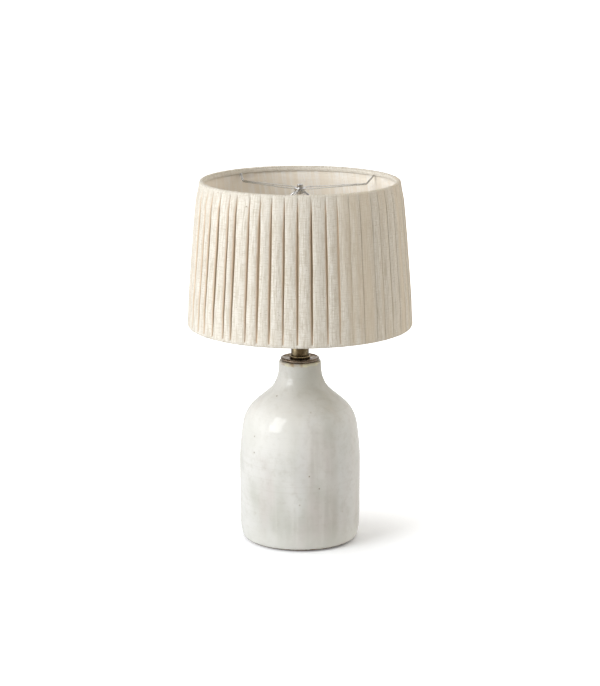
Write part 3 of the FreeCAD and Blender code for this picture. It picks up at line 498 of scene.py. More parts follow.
def moulded(name, color, roughness=0.35):
    """Moulded plastic or phenolic: a faint mould texture and uneven gloss."""
    f = Finish(name)
    drift = f.noise(90.0, 2.0)
    tone = f.blend(f.ramp(drift, 0.3, 0.7, 0.0, 0.3), color, rgb(*(c * 1.5 for c in color[:3])))
    rough = f.ramp(drift, 0.3, 0.7, roughness * 0.8, roughness * 1.3)
    return f.finish(tone, rough, f.bump(f.noise(1400.0, 2.0), 0.00002))


def fibrous(name, color, dark, scale):
    """Felt, or pressed fibre: matted hairs in two tones."""
    f = Finish(name, Sheen_Weight=0.3)
    hairs = f.noise(scale, 5.0, 0.75, None, 1.2)
    tone = f.blend(f.ramp(hairs, 0.35, 0.65), color, dark)
    return f.finish(tone, 0.95, f.bump(hairs, 0.0003))


def opal_glass():
    """The bulb's white glass, which lets light through."""
    f = Finish("opal_glass", Subsurface_Weight=0.4, Subsurface_Scale=0.004, IOR=1.5)
    f.shader.inputs["Subsurface Radius"].default_value = (1.0, 0.9, 0.8)
    drift = f.noise(30.0, 2.0)
    tone = f.blend(f.ramp(drift, 0.3, 0.7), rgb(0.86, 0.86, 0.84), rgb(0.82, 0.815, 0.79))
    return f.finish(tone, f.ramp(drift, 0.3, 0.7, 0.16, 0.26), f.bump(f.noise(1800.0, 1.0), 0.00001))


LINEN = linen("linen", rgb(0.87, 0.83, 0.75), rgb(0.62, 0.555, 0.445), rgb(0.34, 0.24, 0.15))
HEM_LINEN = linen("hem_linen", rgb(0.87, 0.83, 0.755), rgb(0.73, 0.67, 0.565), rgb(0.50, 0.40, 0.28))
# The lining's last value sets its painted bands of light and shade
LINING = linen("lining", rgb(0.94, 0.912, 0.862), rgb(0.86, 0.78, 0.66), rgb(0.55, 0.45, 0.34), 0.9)
GLAZE = glaze()
# Aged brass, darkened to paint the dark reflection in the collar's middle; its edge colour paints highlights,
# and wear on the ring's bead
BRASS_PAINTED_LIGHT_AND_SHADE = metal("antique_brass", rgb(0.072, 0.048, 0.023), rgb(0.035, 0.021, 0.012), 0.26, 0.6, 160.0,
                      brushed=(1.0, 1.0, 0.05), wear_and_painted_light=rgb(0.56, 0.455, 0.28))
# The cap's brass, lighter to paint its reflection of the lit shade above, with a dark painted reflection on
# its rolled rim
CAP_PAINTED_REFLECTION = metal("cap_brass_painted_reflection", rgb(0.44, 0.37, 0.30), rgb(0.12, 0.08, 0.055), 0.26, 0.9, 190.0,
                  wear_and_painted_light=rgb(0.075, 0.048, 0.026))
NICKEL = metal("nickel", rgb(0.54, 0.53, 0.515), rgb(0.30, 0.30, 0.30), 0.2, 0.35)
ARM_NICKEL = metal("arm_nickel", rgb(0.58, 0.57, 0.545), rgb(0.34, 0.33, 0.31), 0.2, 0.4)
ZINC = metal("zinc_steel", rgb(0.56, 0.56, 0.53), rgb(0.34, 0.33, 0.28), 0.34, 0.5)
BRIGHT_BRASS = metal("bright_brass", rgb(0.72, 0.52, 0.22), rgb(0.42, 0.28, 0.12), 0.22, 0.4)
ALUMINIUM = metal("aluminium", rgb(0.50, 0.505, 0.51), rgb(0.33, 0.335, 0.34), 0.26, 0.3)
ROD_STEEL = metal("rod_steel", rgb(0.52, 0.51, 0.47), rgb(0.30, 0.28, 0.22), 0.34, 0.5,
                  thread=ROD_THREAD * MM)
STUD_NICKEL = metal("stud_nickel", rgb(0.62, 0.61, 0.60), rgb(0.34, 0.34, 0.35), 0.2, 0.3,
                    thread=ROD_THREAD * MM)
PHENOLIC = moulded("phenolic", rgb(0.022, 0.018, 0.015))
NYLON = moulded("nylon", rgb(0.03, 0.028, 0.026), 0.5)
FIBRE = fibrous("fibre_paper", rgb(0.40, 0.27, 0.15), rgb(0.27, 0.17, 0.09), 300.0)
FELT = fibrous("felt", rgb(0.055, 0.038, 0.026), rgb(0.02, 0.014, 0.010), 700.0)
WIRE = metal("wire", rgb(0.55, 0.55, 0.54), rgb(0.36, 0.36, 0.36), 0.4, 0.3)
OPAL = opal_glass()

CAD_FINISHES = {
    "glaze": GLAZE, "felt": FELT, "nylon": NYLON, "antique_brass": BRASS_PAINTED_LIGHT_AND_SHADE, "zinc_steel": ZINC,
    "nickel": NICKEL, "bright_brass": BRIGHT_BRASS, "aluminium": ALUMINIUM, "fibre_paper": FIBRE,
    "phenolic": PHENOLIC, "opal_glass": OPAL, "linen": LINEN, "lining": LINING, "wire": WIRE,
}


def dress_cad_nodes():
    """Gives the CAD nodes the finish of their slot, and the rod and the stud their threads."""
    for sub in frame["record"]["subparts"]:
        node = frame["nodes"][sub["node"]]
        node.data.materials.clear()
        node.data.materials.append(CAD_FINISHES[sub["material_slot"]])
    frame["nodes"]["threaded_rod"].data.materials[0] = ROD_STEEL
    frame["nodes"]["harp_stud"].data.materials[0] = STUD_NICKEL


# Shade

Pleat = namedtuple("Pleat", "angle wide deep lift lean sway")


def wall_point(u, z):
    """(radius, height) of a point that lies u outwards from the line through both wires, at a height."""
    return TOP_WIRE_R + u / math.cos(LEAN) + (TOP_WIRE_Z - z) * math.tan(LEAN), z


def from_wire(top, u, v):
    """(radius, height) of a point that lies u outwards from a wire and v up along the wall."""
    r, z = (TOP_WIRE_R, TOP_WIRE_Z) if top else (BOTTOM_WIRE_R, BOTTOM_WIRE_Z)
    return r + u * math.cos(LEAN) - v * math.sin(LEAN), z + u * math.sin(LEAN) + v * math.cos(LEAN)


def around_wire(top, angle_deg, radius):
    """(radius, height) on a circle round a wire; 0 degrees points out from the wall and 90 up along it."""
    a = math.radians(angle_deg)
    return from_wire(top, radius * math.cos(a), radius * math.sin(a))


def gap_angles(draw):
    """Where the gaps between the pleats lie, in radians from the front towards +X."""
    seen = [math.radians(a) for a in GAPS_SEEN_DEG]
    unseen = PLEATS - len(seen) + 1
    span = math.tau - (seen[-1] - seen[0])
    spread = math.radians(GAP_SPREAD_DEG)
    rest = [seen[-1] + span * i / unseen + draw.uniform(-spread, spread) for i in range(1, unseen)]
    return seen + rest


def fold_side(gap, depth, crisp):
    """Half a gap and the fold beside it, as (distance from its middle, height above the wall, foldedness).

    On one side of a gap the cloth slopes in gently; on the other it comes out from under a crisp edge.
    """
    share = min(1.0, depth / DEPTH_MIDDLE + 0.08)
    if crisp:
        sharp = smooth(0.1, 0.6, share)
        width = mix(SOFT_WIDTH, CRISP_WIDTH, sharp)
        drop = mix(depth * 0.92, min(CRISP_DROP, depth * 0.4), sharp)
        tuck = FOLD_TUCK * smooth(0.1, 1.0, share)
        side = [(0.0, -depth, 1.0), (gap / 2 + tuck, -depth * 0.96, 1.0),
                (gap / 2 + tuck * 0.5, -mix(depth, drop, 0.5), 1.0)]
        turns = ((0, 0.75), (30, 0.2), (60, 0.0))
    else:
        width = SLOPE_WIDTH * max(share, 0.8)
        drop = depth * 0.72
        side = [(0.0, -depth, 1.0), (gap * 0.25, -depth * 0.97, 0.94), (gap * 0.42, -depth * 0.86, 0.84)]
        turns = ((0, 0.74), (22, 0.66), (50, 0.4))
    for angle_deg, folded in turns:
        a = math.radians(angle_deg)
        side.append((gap / 2 + width * (1 - math.cos(a)), drop * (math.sin(a) - 1), folded))
    return side, gap / 2 + width


def pleat_line(left, right, radius, gaps, depths, swell, crown, tilt):
    """One pleat across, as (angle, height above the wall, foldedness): gap, fold, crowned panel, fold."""
    before, start = fold_side(gaps[0], depths[0], True)
    after, end = fold_side(gaps[1], depths[1], False)
    line = [(left + step / radius, swell + high, folded) for step, high, folded in before]
    for i in range(PANEL_STEPS + 1):
        x = 2 * i / PANEL_STEPS - 1
        angle = mix(left + start / radius, right - end / radius, i / PANEL_STEPS)
        line.append((angle, swell + crown * (1 - x * x) + tilt * x, 0.0))
    line += [(right - step / radius, swell + high, folded) for step, high, folded in reversed(after[1:])]
    return line


def cloth_levels():
    """Rows up the cloth, as (place, shares of fold, swell and gap, degrees round a hem or None)."""
    outer = HEM_R + CLOTH_OVER_HEM
    rows = []
    for angle in UNDER_HEM_DEG:
        fold = max(0.0, 1 + angle / UNDER_FOLD_FADE_DEG)
        gap = smooth(*GAP_OPENS, 0.0) * max(0.0, 1 + angle / UNDER_GAP_FADE_DEG)
        rows.append((around_wire(False, angle, outer), fold, 0.0, gap, angle))
    for i in range(WALL_STEPS + 1):
        t = i / WALL_STEPS
        t = mix(t, smooth(0, 1, t), 0.6)
        start = smooth(*SWELL_STARTS, t)
        swell = mix(0.6 * start, 1.0, smooth(*SWELL_GROWS, t)) * (1 - smooth(*SWELL_ENDS, t)) * start
        gap = smooth(*GAP_OPENS, t) * (1 - smooth(*GAP_CLOSES, t))
        rows.append((wall_point(outer, mix(BOTTOM_WIRE_Z, TOP_WIRE_Z, t)), 1.0, swell, gap, None))
    for angle in OVER_HEM_DEG:
        fold = max(0.0, 1 - angle / OVER_FOLD_FADE_DEG)
        rows.append((around_wire(True, angle, outer), fold, 0.0, 0.0, angle))
    return rows


def slackness(angle):
    """How deep a gap is folded: 1, or less where the pleats lie slack and shallow."""
    deg = math.degrees(angle)
    return mix(1.0, SLACK_DEPTH, smooth(*SLACK_RISES_DEG, deg) * (1 - smooth(*SLACK_FALLS_DEG, deg)))


def fullness(angle):
    """1 where the pleats are fullest, on the left side, and 0 at the front and at the back."""
    deg = (math.degrees(angle) + 180) % 360 - 180
    return (1 - smooth(*FULL_FRONT_DEG, deg)) * smooth(*FULL_BACK_DEG, deg)


def drawn_pleats():
    """Each gap's angle, width and depth, the lift and lean of the pleat after it, and how it sways."""
    draw = random.Random(PLEAT_SEED)
    angles = gap_angles(draw)
    wide = [draw.uniform(*WIDTHS_DRAWN) for _ in angles]
    deep = [draw.uniform(*DEPTHS_DRAWN) * slackness(a) * mix(1.0, FULL_DEPTH, fullness(a)) for a in angles]
    lift = [draw.uniform(*LIFTS_DRAWN) for _ in angles]
    lean = [draw.uniform(*LEANS_DRAWN) for _ in angles]
    sway = [draw.uniform(0, 100) for _ in angles]
    return [Pleat(*values) for values in zip(angles, wide, deep, lift, lean, sway)]


def pleated_row(pleats, r0, z0, fold, swell, gap, opened):
    """One row round the cloth, as (angle, height above the wall, foldedness)."""
    row = []
    for pleat, after in zip(pleats, pleats[1:] + [pleats[0]._replace(angle=pleats[0].angle + math.tau)]):
        ends, widths, depths = [], [], []
        for p in (pleat, after):
            ends.append(p.angle + GAP_WANDER * gap * noise.noise(Vector((p.sway, 7.0, z0 * 0.018))) / r0)
            uneven = 1 + GAP_UNEVEN * noise.noise(Vector((p.sway, z0 * 0.02, 0)))
            widest = GAP_MIDDLE * p.wide * mix(0.6, 1.0, p.deep)
            widths.append(max(0.12, mix(GAP_HEM, widest, gap) * uneven))
            depths.append(mix(DEPTH_HEM * p.deep, DEPTH_MIDDLE * p.deep, opened) * fold + 0.02)
        crown = (CROWN * pleat.lift * mix(0.25, 1.0, gap) + 0.1) * fold
        row += pleat_line(*ends, r0, widths, depths, SWELL * swell * pleat.lift, crown, pleat.lean * gap)
    return row


def pleated_cloth():
    """The pleated linen, from inside the bottom hem up the outside and over the top hem."""
    pleats = drawn_pleats()
    points, flat, fold_shading, thin = [], [], [], []
    length = 0.0
    before = None
    for (r0, z0), fold, swell, gap, hem_deg in cloth_levels():
        opened = gap ** (0.4 if z0 > (TOP_WIRE_Z + BOTTOM_WIRE_Z) / 2 else 0.9)
        outwards = LEAN + math.radians(hem_deg or 0)
        around = []
        for phi, high, folded in pleated_row(pleats, r0, z0, fold, swell, gap, opened):
            push = high + CLOTH_WAVE * noise.noise(Vector((phi * 14, z0 * 0.05, 3.0)))
            if hem_deg is None:
                push = max(push, ON_LINING)
            r = r0 + push * math.cos(outwards)
            z = z0 + push * math.sin(outwards)
            around.append((r * math.sin(phi) * MM, -r * math.cos(phi) * MM, z * MM))
            tight = smooth(SLACK_DEPTH, 1.0, slackness(phi))
            # thin: how slack the pleats lie, which the linen turns into painted warm light
            thin.append(1 - tight)
            # Painted shade for the folds: stronger where the gap is open and the pleats tight, and darker on
            # the full side
            dark = folded * min(1.0, 1.7 * opened) * mix(0.2, 1.0, tight)
            fold_shading.append(min(1.0, dark * mix(1.0, FULL_FOLD_SHADE, fullness(phi) ** 2)))
        points.append(around)
        if before is not None:
            length += math.dist(before, (r0, z0)) * MM
        before = (r0, z0)
        flat.append(length)
    points = np.array(points)
    middle = points[len(points) // 2]
    steps = np.linalg.norm(np.roll(middle, -1, 0) - middle, axis=1)
    across = np.concatenate([[0], np.cumsum(steps)])
    cloth = np.stack(np.broadcast_arrays(across[None, :], np.array(flat)[:, None]), -1)
    piece = grid_piece("pleated_linen", points, LINEN, cloth)
    keep(piece, "fold", fold_shading)
    keep(piece, "thin", thin)
    thicken(piece, CLOTH_THICK * MM)
    fitted(piece, "shade", "shade_fabric")
    return piece, float(across[-1]), length


def thicken(piece, thickness):
    """Gives an open sheet its thickness, inwards."""
    solid = piece.modifiers.new("thickness", "SOLIDIFY")
    solid.thickness = thickness
    solid.offset = -1
    solid.use_rim = True


def hem_roll(name, top):
    """Cloth rolled over a wire, and turned in against the lining, where its raw edge shows."""
    hand = 1 if top else -1
    section = [around_wire(top, hand * a, HEM_R) for a in range(-20, 181, 20)]
    section += [from_wire(top, u, hand * v) for u, v in (
        (-3.0, -1.6), (-2.2, 0.8 - HEM_FLANGE), (-1.9, -HEM_FLANGE), (-1.0, -HEM_FLANGE), (-0.8, -2.2),
        (0.8, -2.4), (2.6, -2.2))]
    piece = turned(name, section, HEM_LINEN, 256, flat=True)
    pucker = random.Random(HEM_SEEDS["top" if top else "bottom"])
    phase = [pucker.uniform(0, 50) for _ in range(3)]

    def waved(phi, count, k):
        return noise.noise(Vector((math.cos(phi) * count, math.sin(phi) * count, phase[k])))

    for vertex in piece.data.vertices:
        phi = math.atan2(vertex.co.y, vertex.co.x)
        wave_in = sum(height * waved(phi, count, k) for k, (count, height) in enumerate(HEM_WAVES))
        vertex.co.x *= 1 + wave_in / HEM_WAVE_R
        vertex.co.y *= 1 + wave_in / HEM_WAVE_R
        vertex.co.z += hand * HEM_LIFT[1] * MM * waved(phi, HEM_LIFT[0], 2)
    fitted(piece, "shade", "top_hem" if top else "bottom_hem")
    return piece


def lining_sheet():
    """The stiff lining between the wires."""
    low, high = BOTTOM_WIRE_Z + LINING_TO_WIRE, TOP_WIRE_Z - LINING_TO_WIRE
    section = [wall_point(-LINING_IN, mix(low, high, i / LINING_ROWS)) for i in range(LINING_ROWS + 1)]
    section += [wall_point(LINING_OUT, high), wall_point(LINING_OUT, low)]
    piece = turned("lining_sheet", section, LINING, 256, flat=True)
    fitted(piece, "shade", "shade_lining")
    return piece, low, high


def make_shade():
    """The pleated linen, both hems and the lining."""
    cloth, around, along = pleated_cloth()
    top = hem_roll("top_hem_roll", True)
    bottom = hem_roll("bottom_hem_roll", False)
    lining, low, high = lining_sheet()


# Ceramic body

def wall_seen(node, heights):
    """The front wall of a turned CAD node, as (radius, height) in millimetres at each height."""
    wall = []
    for z in heights:
        hit, place, _, _ = frame["nodes"][node].ray_cast(Vector((0, -1, z * MM)), Vector((0, 1, 0)))
        if hit:
            wall.append((-place.y / MM, z))
    return wall


def offset(line, distance):
    """A line of (radius, height) points moved square to itself, outwards where it runs up."""
    moved = []
    for i, (r, z) in enumerate(line):
        before, after = line[max(0, i - 1)], line[min(len(line) - 1, i + 1)]
        dr, dz = after[0] - before[0], after[1] - before[1]
        size = math.hypot(dr, dz)
        moved.append((r + dz / size * distance, z - dr / size * distance))
    return moved


def glaze_coat():
    """The fired glaze over the clay: thrown rings, runs and soft dents, ending above the foot."""
    heights = list(np.arange(GLAZE_FOOT, GLAZE_LIP - 3.5, GLAZE_ROW))
    heights += list(np.linspace(GLAZE_LIP - 3.3, GLAZE_LIP, 7))
    wall = wall_seen("ceramic_body", heights)
    edge = [offset(wall, 0.2)[0]]
    outer = offset(wall, GLAZE_THICK)
    inner = offset(wall[::12] + wall[-1:], -GLAZE_OVERLAP)
    piece = turned("glaze_coat", edge + outer + list(reversed(inner)), GLAZE, GLAZE_COLUMNS)
    for i, vertex in enumerate(piece.data.vertices):
        if not 0 < i // GLAZE_COLUMNS <= len(outer):
            continue
        x, y, z = vertex.co / MM
        r, phi = math.hypot(x, y), math.atan2(y, x)
        near_edge = smooth(GLAZE_FOOT, GLAZE_FOOT + 6, z) * (1 - smooth(GLAZE_LIP - 6, GLAZE_LIP, z))
        dent = 0.16 * noise.noise(Vector((x, y, z)) / 55) + 0.05 * noise.noise(Vector((x, y, z * 0.2)) / 11)
        thrown = 0.018 * math.sin(math.tau * z / 5.6 + phi)
        thrown += 0.03 * noise.noise(Vector((x / 90, y / 90, z / 7)))
        push = 1 + (dent + thrown) * near_edge / r
        sag = 0.7 * noise.noise(Vector((math.cos(phi), math.sin(phi), 0)) * 4)
        sag *= 1 - smooth(GLAZE_FOOT, 9, z)
        vertex.co = Vector((x * push, y * push, z + sag)) * MM
    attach(piece, "base")
    drill(piece, BUSHING_Z, BUSHING_HOLE_R)


def drill(piece, height, radius):
    """Opens a hole through the back of a piece, straight in from behind, where the bushing sits."""
    bpy.ops.mesh.primitive_cylinder_add(vertices=96, radius=radius * MM, depth=0.05,
                                        location=(0, 0.1, height * MM), rotation=(math.pi / 2, 0, 0))
    tool = bpy.context.object
    cut = piece.modifiers.new("drill", "BOOLEAN")
    cut.object = tool
    cut.solver = "EXACT"
    graph = bpy.context.evaluated_depsgraph_get()
    drilled = bpy.data.meshes.new_from_object(piece.evaluated_get(graph))
    piece.modifiers.clear()
    piece.data = drilled
    bpy.data.objects.remove(tool)


# Fittings

def arc_section(middle, radius, start_deg, end_deg, steps=8):
    """(radius, height) points on an arc round a middle; 0 degrees points outwards and 90 up."""
    angles = [math.radians(mix(start_deg, end_deg, i / steps)) for i in range(steps + 1)]
    return [(middle[0] + radius * math.cos(a), middle[1] + radius * math.sin(a)) for a in angles]


def painted_highlight(azimuth_deg):
    """How bright a highlight is painted on the brass on one side; the azimuth counts from the front towards
    +X.
    """
    return sum(level * math.exp(-((azimuth_deg - middle + 180) % 360 - 180) ** 2 / (2 * spread ** 2))
               for middle, spread, level in PAINTED_HIGHLIGHTS)


def mark_light_and_wear(piece, value_at):
    """Gives each point of a turned piece its "edge", from its azimuth in degrees, radius and height; the brass
    paints highlights, dark reflection and wear there.
    """
    keep(piece, "edge", [value_at(math.degrees(math.atan2(v.co.x, -v.co.y)),
                                  math.hypot(v.co.x, v.co.y) / MM, v.co.z / MM) for v in piece.data.vertices])


def brass_neck():
    """The cap with its rolled rim, the round ring and the collar, at full smoothness."""
    z0, z1 = BODY_TOP_Z, BODY_TOP_Z + CAP_PLATE
    rim = CAP_R - CAP_RIM / 2
    dish = [(mix(rim - CAP_FADE, rim, t), z1 + (CAP_RIM - CAP_PLATE) * smooth(0, 1, t))
            for t in np.linspace(0, 1, 9)[:-1]]
    roll = arc_section((rim, z0 + CAP_RIM / 2), CAP_RIM / 2, 90, -90, 14)
    section = [(ROD_HOLE_R, z0), (ROD_HOLE_R, z1), *dish, *roll, (REGISTER_R, z0), (REGISTER_R, z0 - 4),
               (REGISTER_R - 1.5, z0 - 4), (REGISTER_R - 1.5, z0)]
    cap = turned("turned_cap", section, CAP_PAINTED_REFLECTION, 256)
    # The rim's edge value paints it dark, a painted reflection
    mark_light_and_wear(cap, lambda azimuth, r, z: smooth(rim - 0.6, rim + 0.8, r))
    fitted(cap, "base", "vase_cap")

    z2 = z1 + RING_THICK
    section = [(ROD_HOLE_R, z1), (ROD_HOLE_R, z2 + 2), (COLLAR_R - 1.1, z2 + 2), (COLLAR_R - 1.1, z2),
               (COLLAR_R + 0.3, z2), *arc_section((RING_R - 1.2, z2 - 1.2), 1.2, 90, 0, 6),
               (RING_R, z1 + 1.6), *arc_section((RING_R - 0.5, z1 + 1.1), 0.5, 0, -60, 3),
               (RING_R - 0.6, z1 + 0.4), (RING_R - 0.3, z1)]
    ring = turned("turned_ring", section, BRASS_PAINTED_LIGHT_AND_SHADE, 192)
    # The ring's edge: painted highlights on its sides, and wear on its bead
    mark_light_and_wear(ring, lambda azimuth, r, z: max(
        0.5 * painted_highlight(azimuth), smooth(z1 + 2.2, z1 + 3.2, z) * smooth(RING_R - 1.6, RING_R - 0.6, r)))
    fitted(ring, "base", "base_ring")

    top = z2 + COLLAR_LENGTH
    mouth = arc_section((COLLAR_R - 0.5, top - 0.5), 0.5, 90, 0, 4)
    foot = arc_section((COLLAR_R - 0.4, z2 + 0.4), 0.4, 0, -90, 4)
    tall = [(COLLAR_R, mix(top - 0.5, z2 + 0.4, t)) for t in np.linspace(0, 1, 12)[1:-1]]
    section = [(COLLAR_R - 1, z2), (COLLAR_R - 1, top), *mouth, *tall, *foot]
    collar = turned("turned_collar", section, BRASS_PAINTED_LIGHT_AND_SHADE, 192)
    # The collar's edge: painted highlights on its sides
    mark_light_and_wear(collar, lambda azimuth, r, z: painted_highlight(azimuth))
    fitted(collar, "base", "collar_tube")


def rounded_corner(before, corner, after, radius, steps=10):
    """A path from before to after that turns its one corner on an arc."""
    into, out = (before - corner).normalized(), (after - corner).normalized()
    half = into.angle(out) / 2
    cut = radius / math.tan(half)
    middle = corner + (into + out).normalized() * (radius / math.sin(half))
    start, end = corner + into * cut - middle, corner + out * cut - middle
    turn = start.rotation_difference(end)
    arc = []
    for i in range(steps + 1):
        step = start.copy()
        step.rotate(Quaternion().slerp(turn, i / steps))
        arc.append(middle + step)
    return [before] + arc + [after]


def stepped(path, step):
    """A path sampled again at even steps."""
    points = np.array([p[:] for p in path])
    lengths = np.concatenate([[0], np.cumsum(np.linalg.norm(np.diff(points, axis=0), axis=1))])
    places = np.linspace(0, lengths[-1], max(2, int(lengths[-1] / step) + 1))
    return np.stack([np.interp(places, lengths, points[:, k]) for k in range(3)], -1), places


def frames_along(points):
    """Two directions square to the path at each of its points, carried along it without twist."""
    ahead = np.gradient(points, axis=0)
    ahead /= np.linalg.norm(ahead, axis=1)[:, None]
    side = np.cross(ahead[0], (0, 0, 1.0) if abs(ahead[0][2]) < 0.9 else (1.0, 0, 0))
    sides = []
    for direction in ahead:
        side = side - direction * side.dot(direction)
        side = side / np.linalg.norm(side)
        sides.append(side)
    sides = np.array(sides)
    return sides, np.cross(ahead, sides)


def wires(name, paths, radius, material, sides=8):
    """One mesh of round wires, closed at their ends."""
    corners, faces = [], []
    angles = np.arange(sides)[:, None] * math.tau / sides
    for points in paths:
        side, up = frames_along(points)
        rings = points[:, None] + radius * (np.cos(angles) * side[:, None] + np.sin(angles) * up[:, None])
        starts = range(len(corners), len(corners) + len(points) * sides, sides)
        corners += rings.reshape(-1, 3).tolist()
        for low, high in zip(starts, starts[1:]):
            faces += [(low + k, low + (k + 1) % sides, high + (k + 1) % sides, high + k) for k in range(sides)]
        faces.append(tuple(starts[0] + k for k in reversed(range(sides))))
        faces.append(tuple(starts[-1] + k for k in range(sides)))
    mesh = bpy.data.meshes.new(name)
    mesh.from_pydata(corners, [], faces)
    mesh.polygons.foreach_set("use_smooth", [len(face) == 4 for face in faces])
    return added(name, mesh, material)


def spider():
    """Three arms from the hub to the top wire, each of two wires that part towards the hub."""
    strands = []
    for angle_deg, inset in zip(ARM_ANGLES_DEG, ARM_INSETS):
        out = Vector((math.cos(math.radians(angle_deg)), math.sin(math.radians(angle_deg)), 0))
        hub, bend, weld = [out * r + Vector((0, 0, z)) for r, z in
                           ((HUB_R - 0.4, ARM_HUB_Z), (ARM_WELD_R - inset, TOP_WIRE_Z - ARM_DROP),
                            (ARM_WELD_R + 0.8, TOP_WIRE_Z - 3.6))]
        points, places = stepped(rounded_corner(hub, bend, weld, ARM_BEND_R), ARM_STEP)
        side, up = frames_along(points)
        near_hub = np.array([1 - smooth(0, 0.75 * places[-1], place) for place in places])[:, None]
        apart = mix(ARM_APART, ARM_APART_AT_HUB, near_hub * np.minimum(1, 0.3 + places[:, None] / 12))
        for start in (0, math.pi):
            turn = (math.tau * places / ARM_TWIST + start + ARM_START)[:, None]
            strands.append((points + apart * (np.cos(turn) * side + np.sin(turn) * up)) * MM)
    piece = wires("twisted_arms", strands, ARM_STRAND_R * MM, ARM_NICKEL)
    fitted(piece, "shade", "spider_arms")


def bounds_of(node):
    """The least and greatest radius and height of a turned CAD node, in millimetres."""
    radii, heights = zip(*[(math.hypot(v.co.x, v.co.y) / MM, v.co.z / MM)
                           for v in frame["nodes"][node].data.vertices])
    return min(radii), max(radii), min(heights), max(heights)


def threaded_cup(name, outer, wall, low, high, depth, floor_r=None):
    """A thin cup rolled into a round screw thread, plain at both its ends."""
    heights = list(np.arange(low, high + 0.01, LAMP_THREAD / 9))
    section = [(outer - wall, z) for z in reversed(heights)]
    if floor_r:
        section += [(outer - wall, low + wall), (floor_r, low + wall), (floor_r, low)]
    section += [(outer, z) for z in heights]
    piece = turned(name, section, ALUMINIUM, 96)
    for vertex in piece.data.vertices:
        x, y, z = vertex.co / MM
        r = math.hypot(x, y)
        if r < outer - wall - 0.2:
            continue
        share = smooth(low + 1, low + 3.5, z) * (1 - smooth(high - 4, high - 2, z))
        groove = depth * share * (0.5 + 0.5 * math.cos(math.tau * z / LAMP_THREAD - math.atan2(y, x)))
        vertex.co.x *= 1 - groove / r
        vertex.co.y *= 1 - groove / r
    return piece


def felt_disc():
    """The felt under the foot, pressed flat, its cut edge a little loose."""
    _, reach, _, high = bounds_of("felt_pad")
    section = [(0.01, high), *[(reach * t, high) for t in (0.25, 0.5, 0.75, 0.9)], (reach - 0.5, high),
               (reach - 0.1, high - 0.35), (reach, high / 2), (reach - 0.2, 0.3), (reach - 0.8, 0.02),
               *[(reach * t, 0.0) for t in (0.9, 0.75, 0.5, 0.25)], (0.01, 0.0)]
    piece = turned("felt_disc", section, FELT, 256, shut=False)
    for vertex in piece.data.vertices:
        x, y, z = vertex.co / MM
        r = math.hypot(x, y)
        loose = smooth(reach - 2, reach, r) * 0.5 * abs(noise.noise(Vector((x, y, 0)) / 2.5))
        vertex.co.x *= 1 - loose / max(r, 1)
        vertex.co.y *= 1 - loose / max(r, 1)
        if z < high / 2:
            vertex.co.z += 0.12 * abs(noise.noise(Vector((x, y, 4)) / 9)) * MM
    fitted(piece, "base", "felt_pad")


def lamp_threads():
    """The bulb's threaded base, and the shell that it screws into."""
    _, outer, low, high = bounds_of("bulb_base")
    base = threaded_cup("threaded_base", outer, 0.4, low, high, 0.5)
    fitted(base, "bulb", "bulb_base")
    floor_r, outer, low, high = bounds_of("screw_shell")
    shell = threaded_cup("threaded_shell", outer, 0.45, low, high, 0.2, floor_r)
    fitted(shell, "base", "screw_shell")


# Room

def bearing(azimuth_deg, elevation_deg):
    """The direction out from the lamp, its azimuth counted from the front towards +X."""
    azimuth, elevation = math.radians(azimuth_deg), math.radians(elevation_deg)
    return Vector((math.sin(azimuth) * math.cos(elevation), -math.cos(azimuth) * math.cos(elevation),
                   math.sin(elevation)))


def key_light():
    """A tall soft light aimed at the lamp."""
    light = bpy.data.lights.new("key", "AREA")
    light.shape = "RECTANGLE"
    light.size, light.size_y = KEY_SIZE
    light.energy = KEY_POWER
    light.color = KEY_COLOR
    out = bearing(*KEY_DEG)
    made = bpy.data.objects.new("key", light)
    made.location = Vector(KEY_AIM) + out * KEY_DISTANCE
    made.rotation_euler = (-out).to_track_quat("-Z", "Y").to_euler()
    bpy.context.scene.collection.objects.link(made)


def wired(tree, operation, a, b=None, kind="ShaderNodeMath"):
    """A maths node's result in a shader tree."""
    made = tree.nodes.new(kind)
    made.operation = operation
    for socket, value in zip(made.inputs, (a, b)):
        if isinstance(value, bpy.types.NodeSocket):
            tree.links.new(value, socket)
        elif value is not None:
            socket.default_value = value
    return made.outputs["Value"]


def ranged(tree, value, low, high):
    """A value mapped from low..high to 0..1, and held there outside."""
    made = tree.nodes.new("ShaderNodeMapRange")
    tree.links.new(value, made.inputs["Value"])
    made.inputs["From Min"].default_value = low
    made.inputs["From Max"].default_value = high
    return made.outputs["Result"]


def is_seen(tree, in_mirrors=1.0):
    """1 for rays from the camera, and the given share for mirror and see-through rays."""
    path = tree.nodes.new("ShaderNodeLightPath")
    mirror = wired(tree, "MAXIMUM", path.outputs["Is Glossy Ray"], path.outputs["Is Transmission Ray"])
    return wired(tree, "MAXIMUM", path.outputs["Is Camera Ray"], wired(tree, "MULTIPLY", mirror, in_mirrors))


def wall_light(tree, towards, out, level, tightness):
    """Light from one side of the studio, strongest from the direction out."""
    dot = wired(tree, "DOT_PRODUCT", towards, out, "ShaderNodeVectorMath")
    facing = wired(tree, "MAXIMUM", dot, 0.0)
    return wired(tree, "MULTIPLY", wired(tree, "POWER", facing, tightness), level)


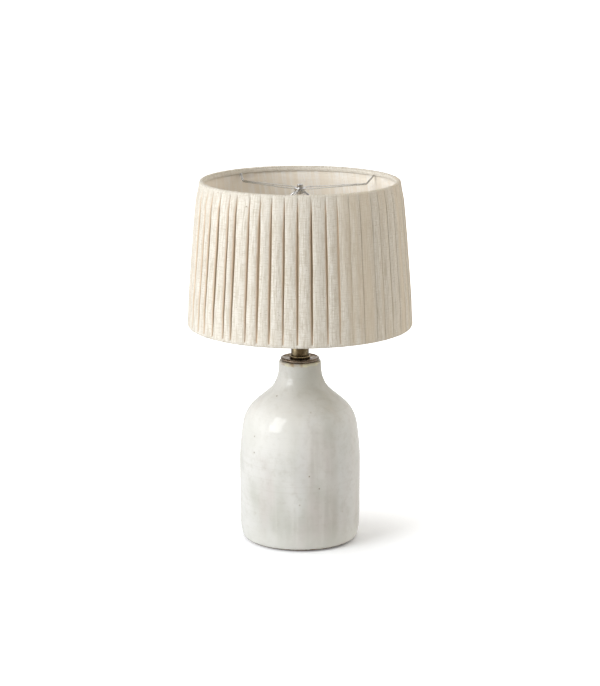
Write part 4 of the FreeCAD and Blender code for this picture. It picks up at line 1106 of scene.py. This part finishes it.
def make_world():
    """Light from the studio's walls, warmer from the right; the backdrop is white where it is seen."""
    world = bpy.data.worlds.new("studio")
    bpy.context.scene.world = world
    world.use_nodes = True
    tree = world.node_tree
    towards = tree.nodes.new("ShaderNodeTexCoord").outputs["Generated"]
    walls = 0.0
    for place_deg, level, tightness in WALL_LIGHTS:
        walls = wired(tree, "ADD", walls, wall_light(tree, towards, bearing(*place_deg), level, tightness))
    axes = tree.nodes.new("ShaderNodeSeparateXYZ")
    tree.links.new(towards, axes.inputs["Vector"])
    seen = is_seen(tree)
    white = wired(tree, "MULTIPLY", seen, ranged(tree, axes.outputs["Y"], *BACKDROP_FROM_Y))
    warmth = wired(tree, "MULTIPLY", ranged(tree, axes.outputs["X"], *WARM_FROM_X),
                   wired(tree, "SUBTRACT", 1.0, seen))
    tint = tree.nodes.new("ShaderNodeMix")
    tint.data_type = "RGBA"
    tree.links.new(warmth, tint.inputs[0])
    tint.inputs[6].default_value = WHITE
    tint.inputs[7].default_value = WARM
    shade = tree.nodes["Background"]
    tree.links.new(tint.outputs[2], shade.inputs["Color"])
    tree.links.new(wired(tree, "MAXIMUM", walls, white), shade.inputs["Strength"])


def make_floor():
    """A pale floor that glows white to the camera, except round the lamp's foot."""
    bpy.ops.mesh.primitive_plane_add(size=FLOOR_SIZE)
    floor = bpy.context.object
    floor.name = "floor"
    pale = bpy.data.materials.new("pale_floor")
    pale.use_nodes = True
    tree = pale.node_tree
    surface = tree.nodes["Principled BSDF"]
    for socket, value in (("Base Color", FLOOR_COLOR), ("Roughness", 0.9), ("Specular IOR Level", 0.0),
                          ("Emission Color", WHITE)):
        surface.inputs[socket].default_value = value
    place = tree.nodes.new("ShaderNodeTexCoord").outputs["Object"]
    reach = wired(tree, "DISTANCE", place, SHADOW_MIDDLE, "ShaderNodeVectorMath")
    glow = wired(tree, "MULTIPLY", is_seen(tree, FLOOR_IN_MIRRORS), ranged(tree, reach, 0.0, SHADOW_REACH))
    tree.links.new(glow, surface.inputs["Emission Strength"])
    floor.data.materials.append(pale)


def make_camera():
    """The camera that took the photograph, as fitted to it."""
    data = bpy.data.cameras.new("camera")
    data.sensor_width = SENSOR
    data.lens = FOCAL_PIXELS / PICTURE_HEIGHT * SENSOR
    camera = bpy.data.objects.new("camera", data)
    camera.location = (0, -CAMERA_DISTANCE, CAMERA_HEIGHT)
    camera.rotation_euler = (math.radians(90 - CAMERA_PITCH_DEG), 0, 0)
    bpy.context.scene.collection.objects.link(camera)
    bpy.context.scene.camera = camera


dress_cad_nodes()
glaze_coat()
brass_neck()
spider()
lamp_threads()
felt_disc()
make_shade()
make_world()
make_floor()
key_light()
make_camera()
bpy.context.scene.view_settings.view_transform = "Standard"
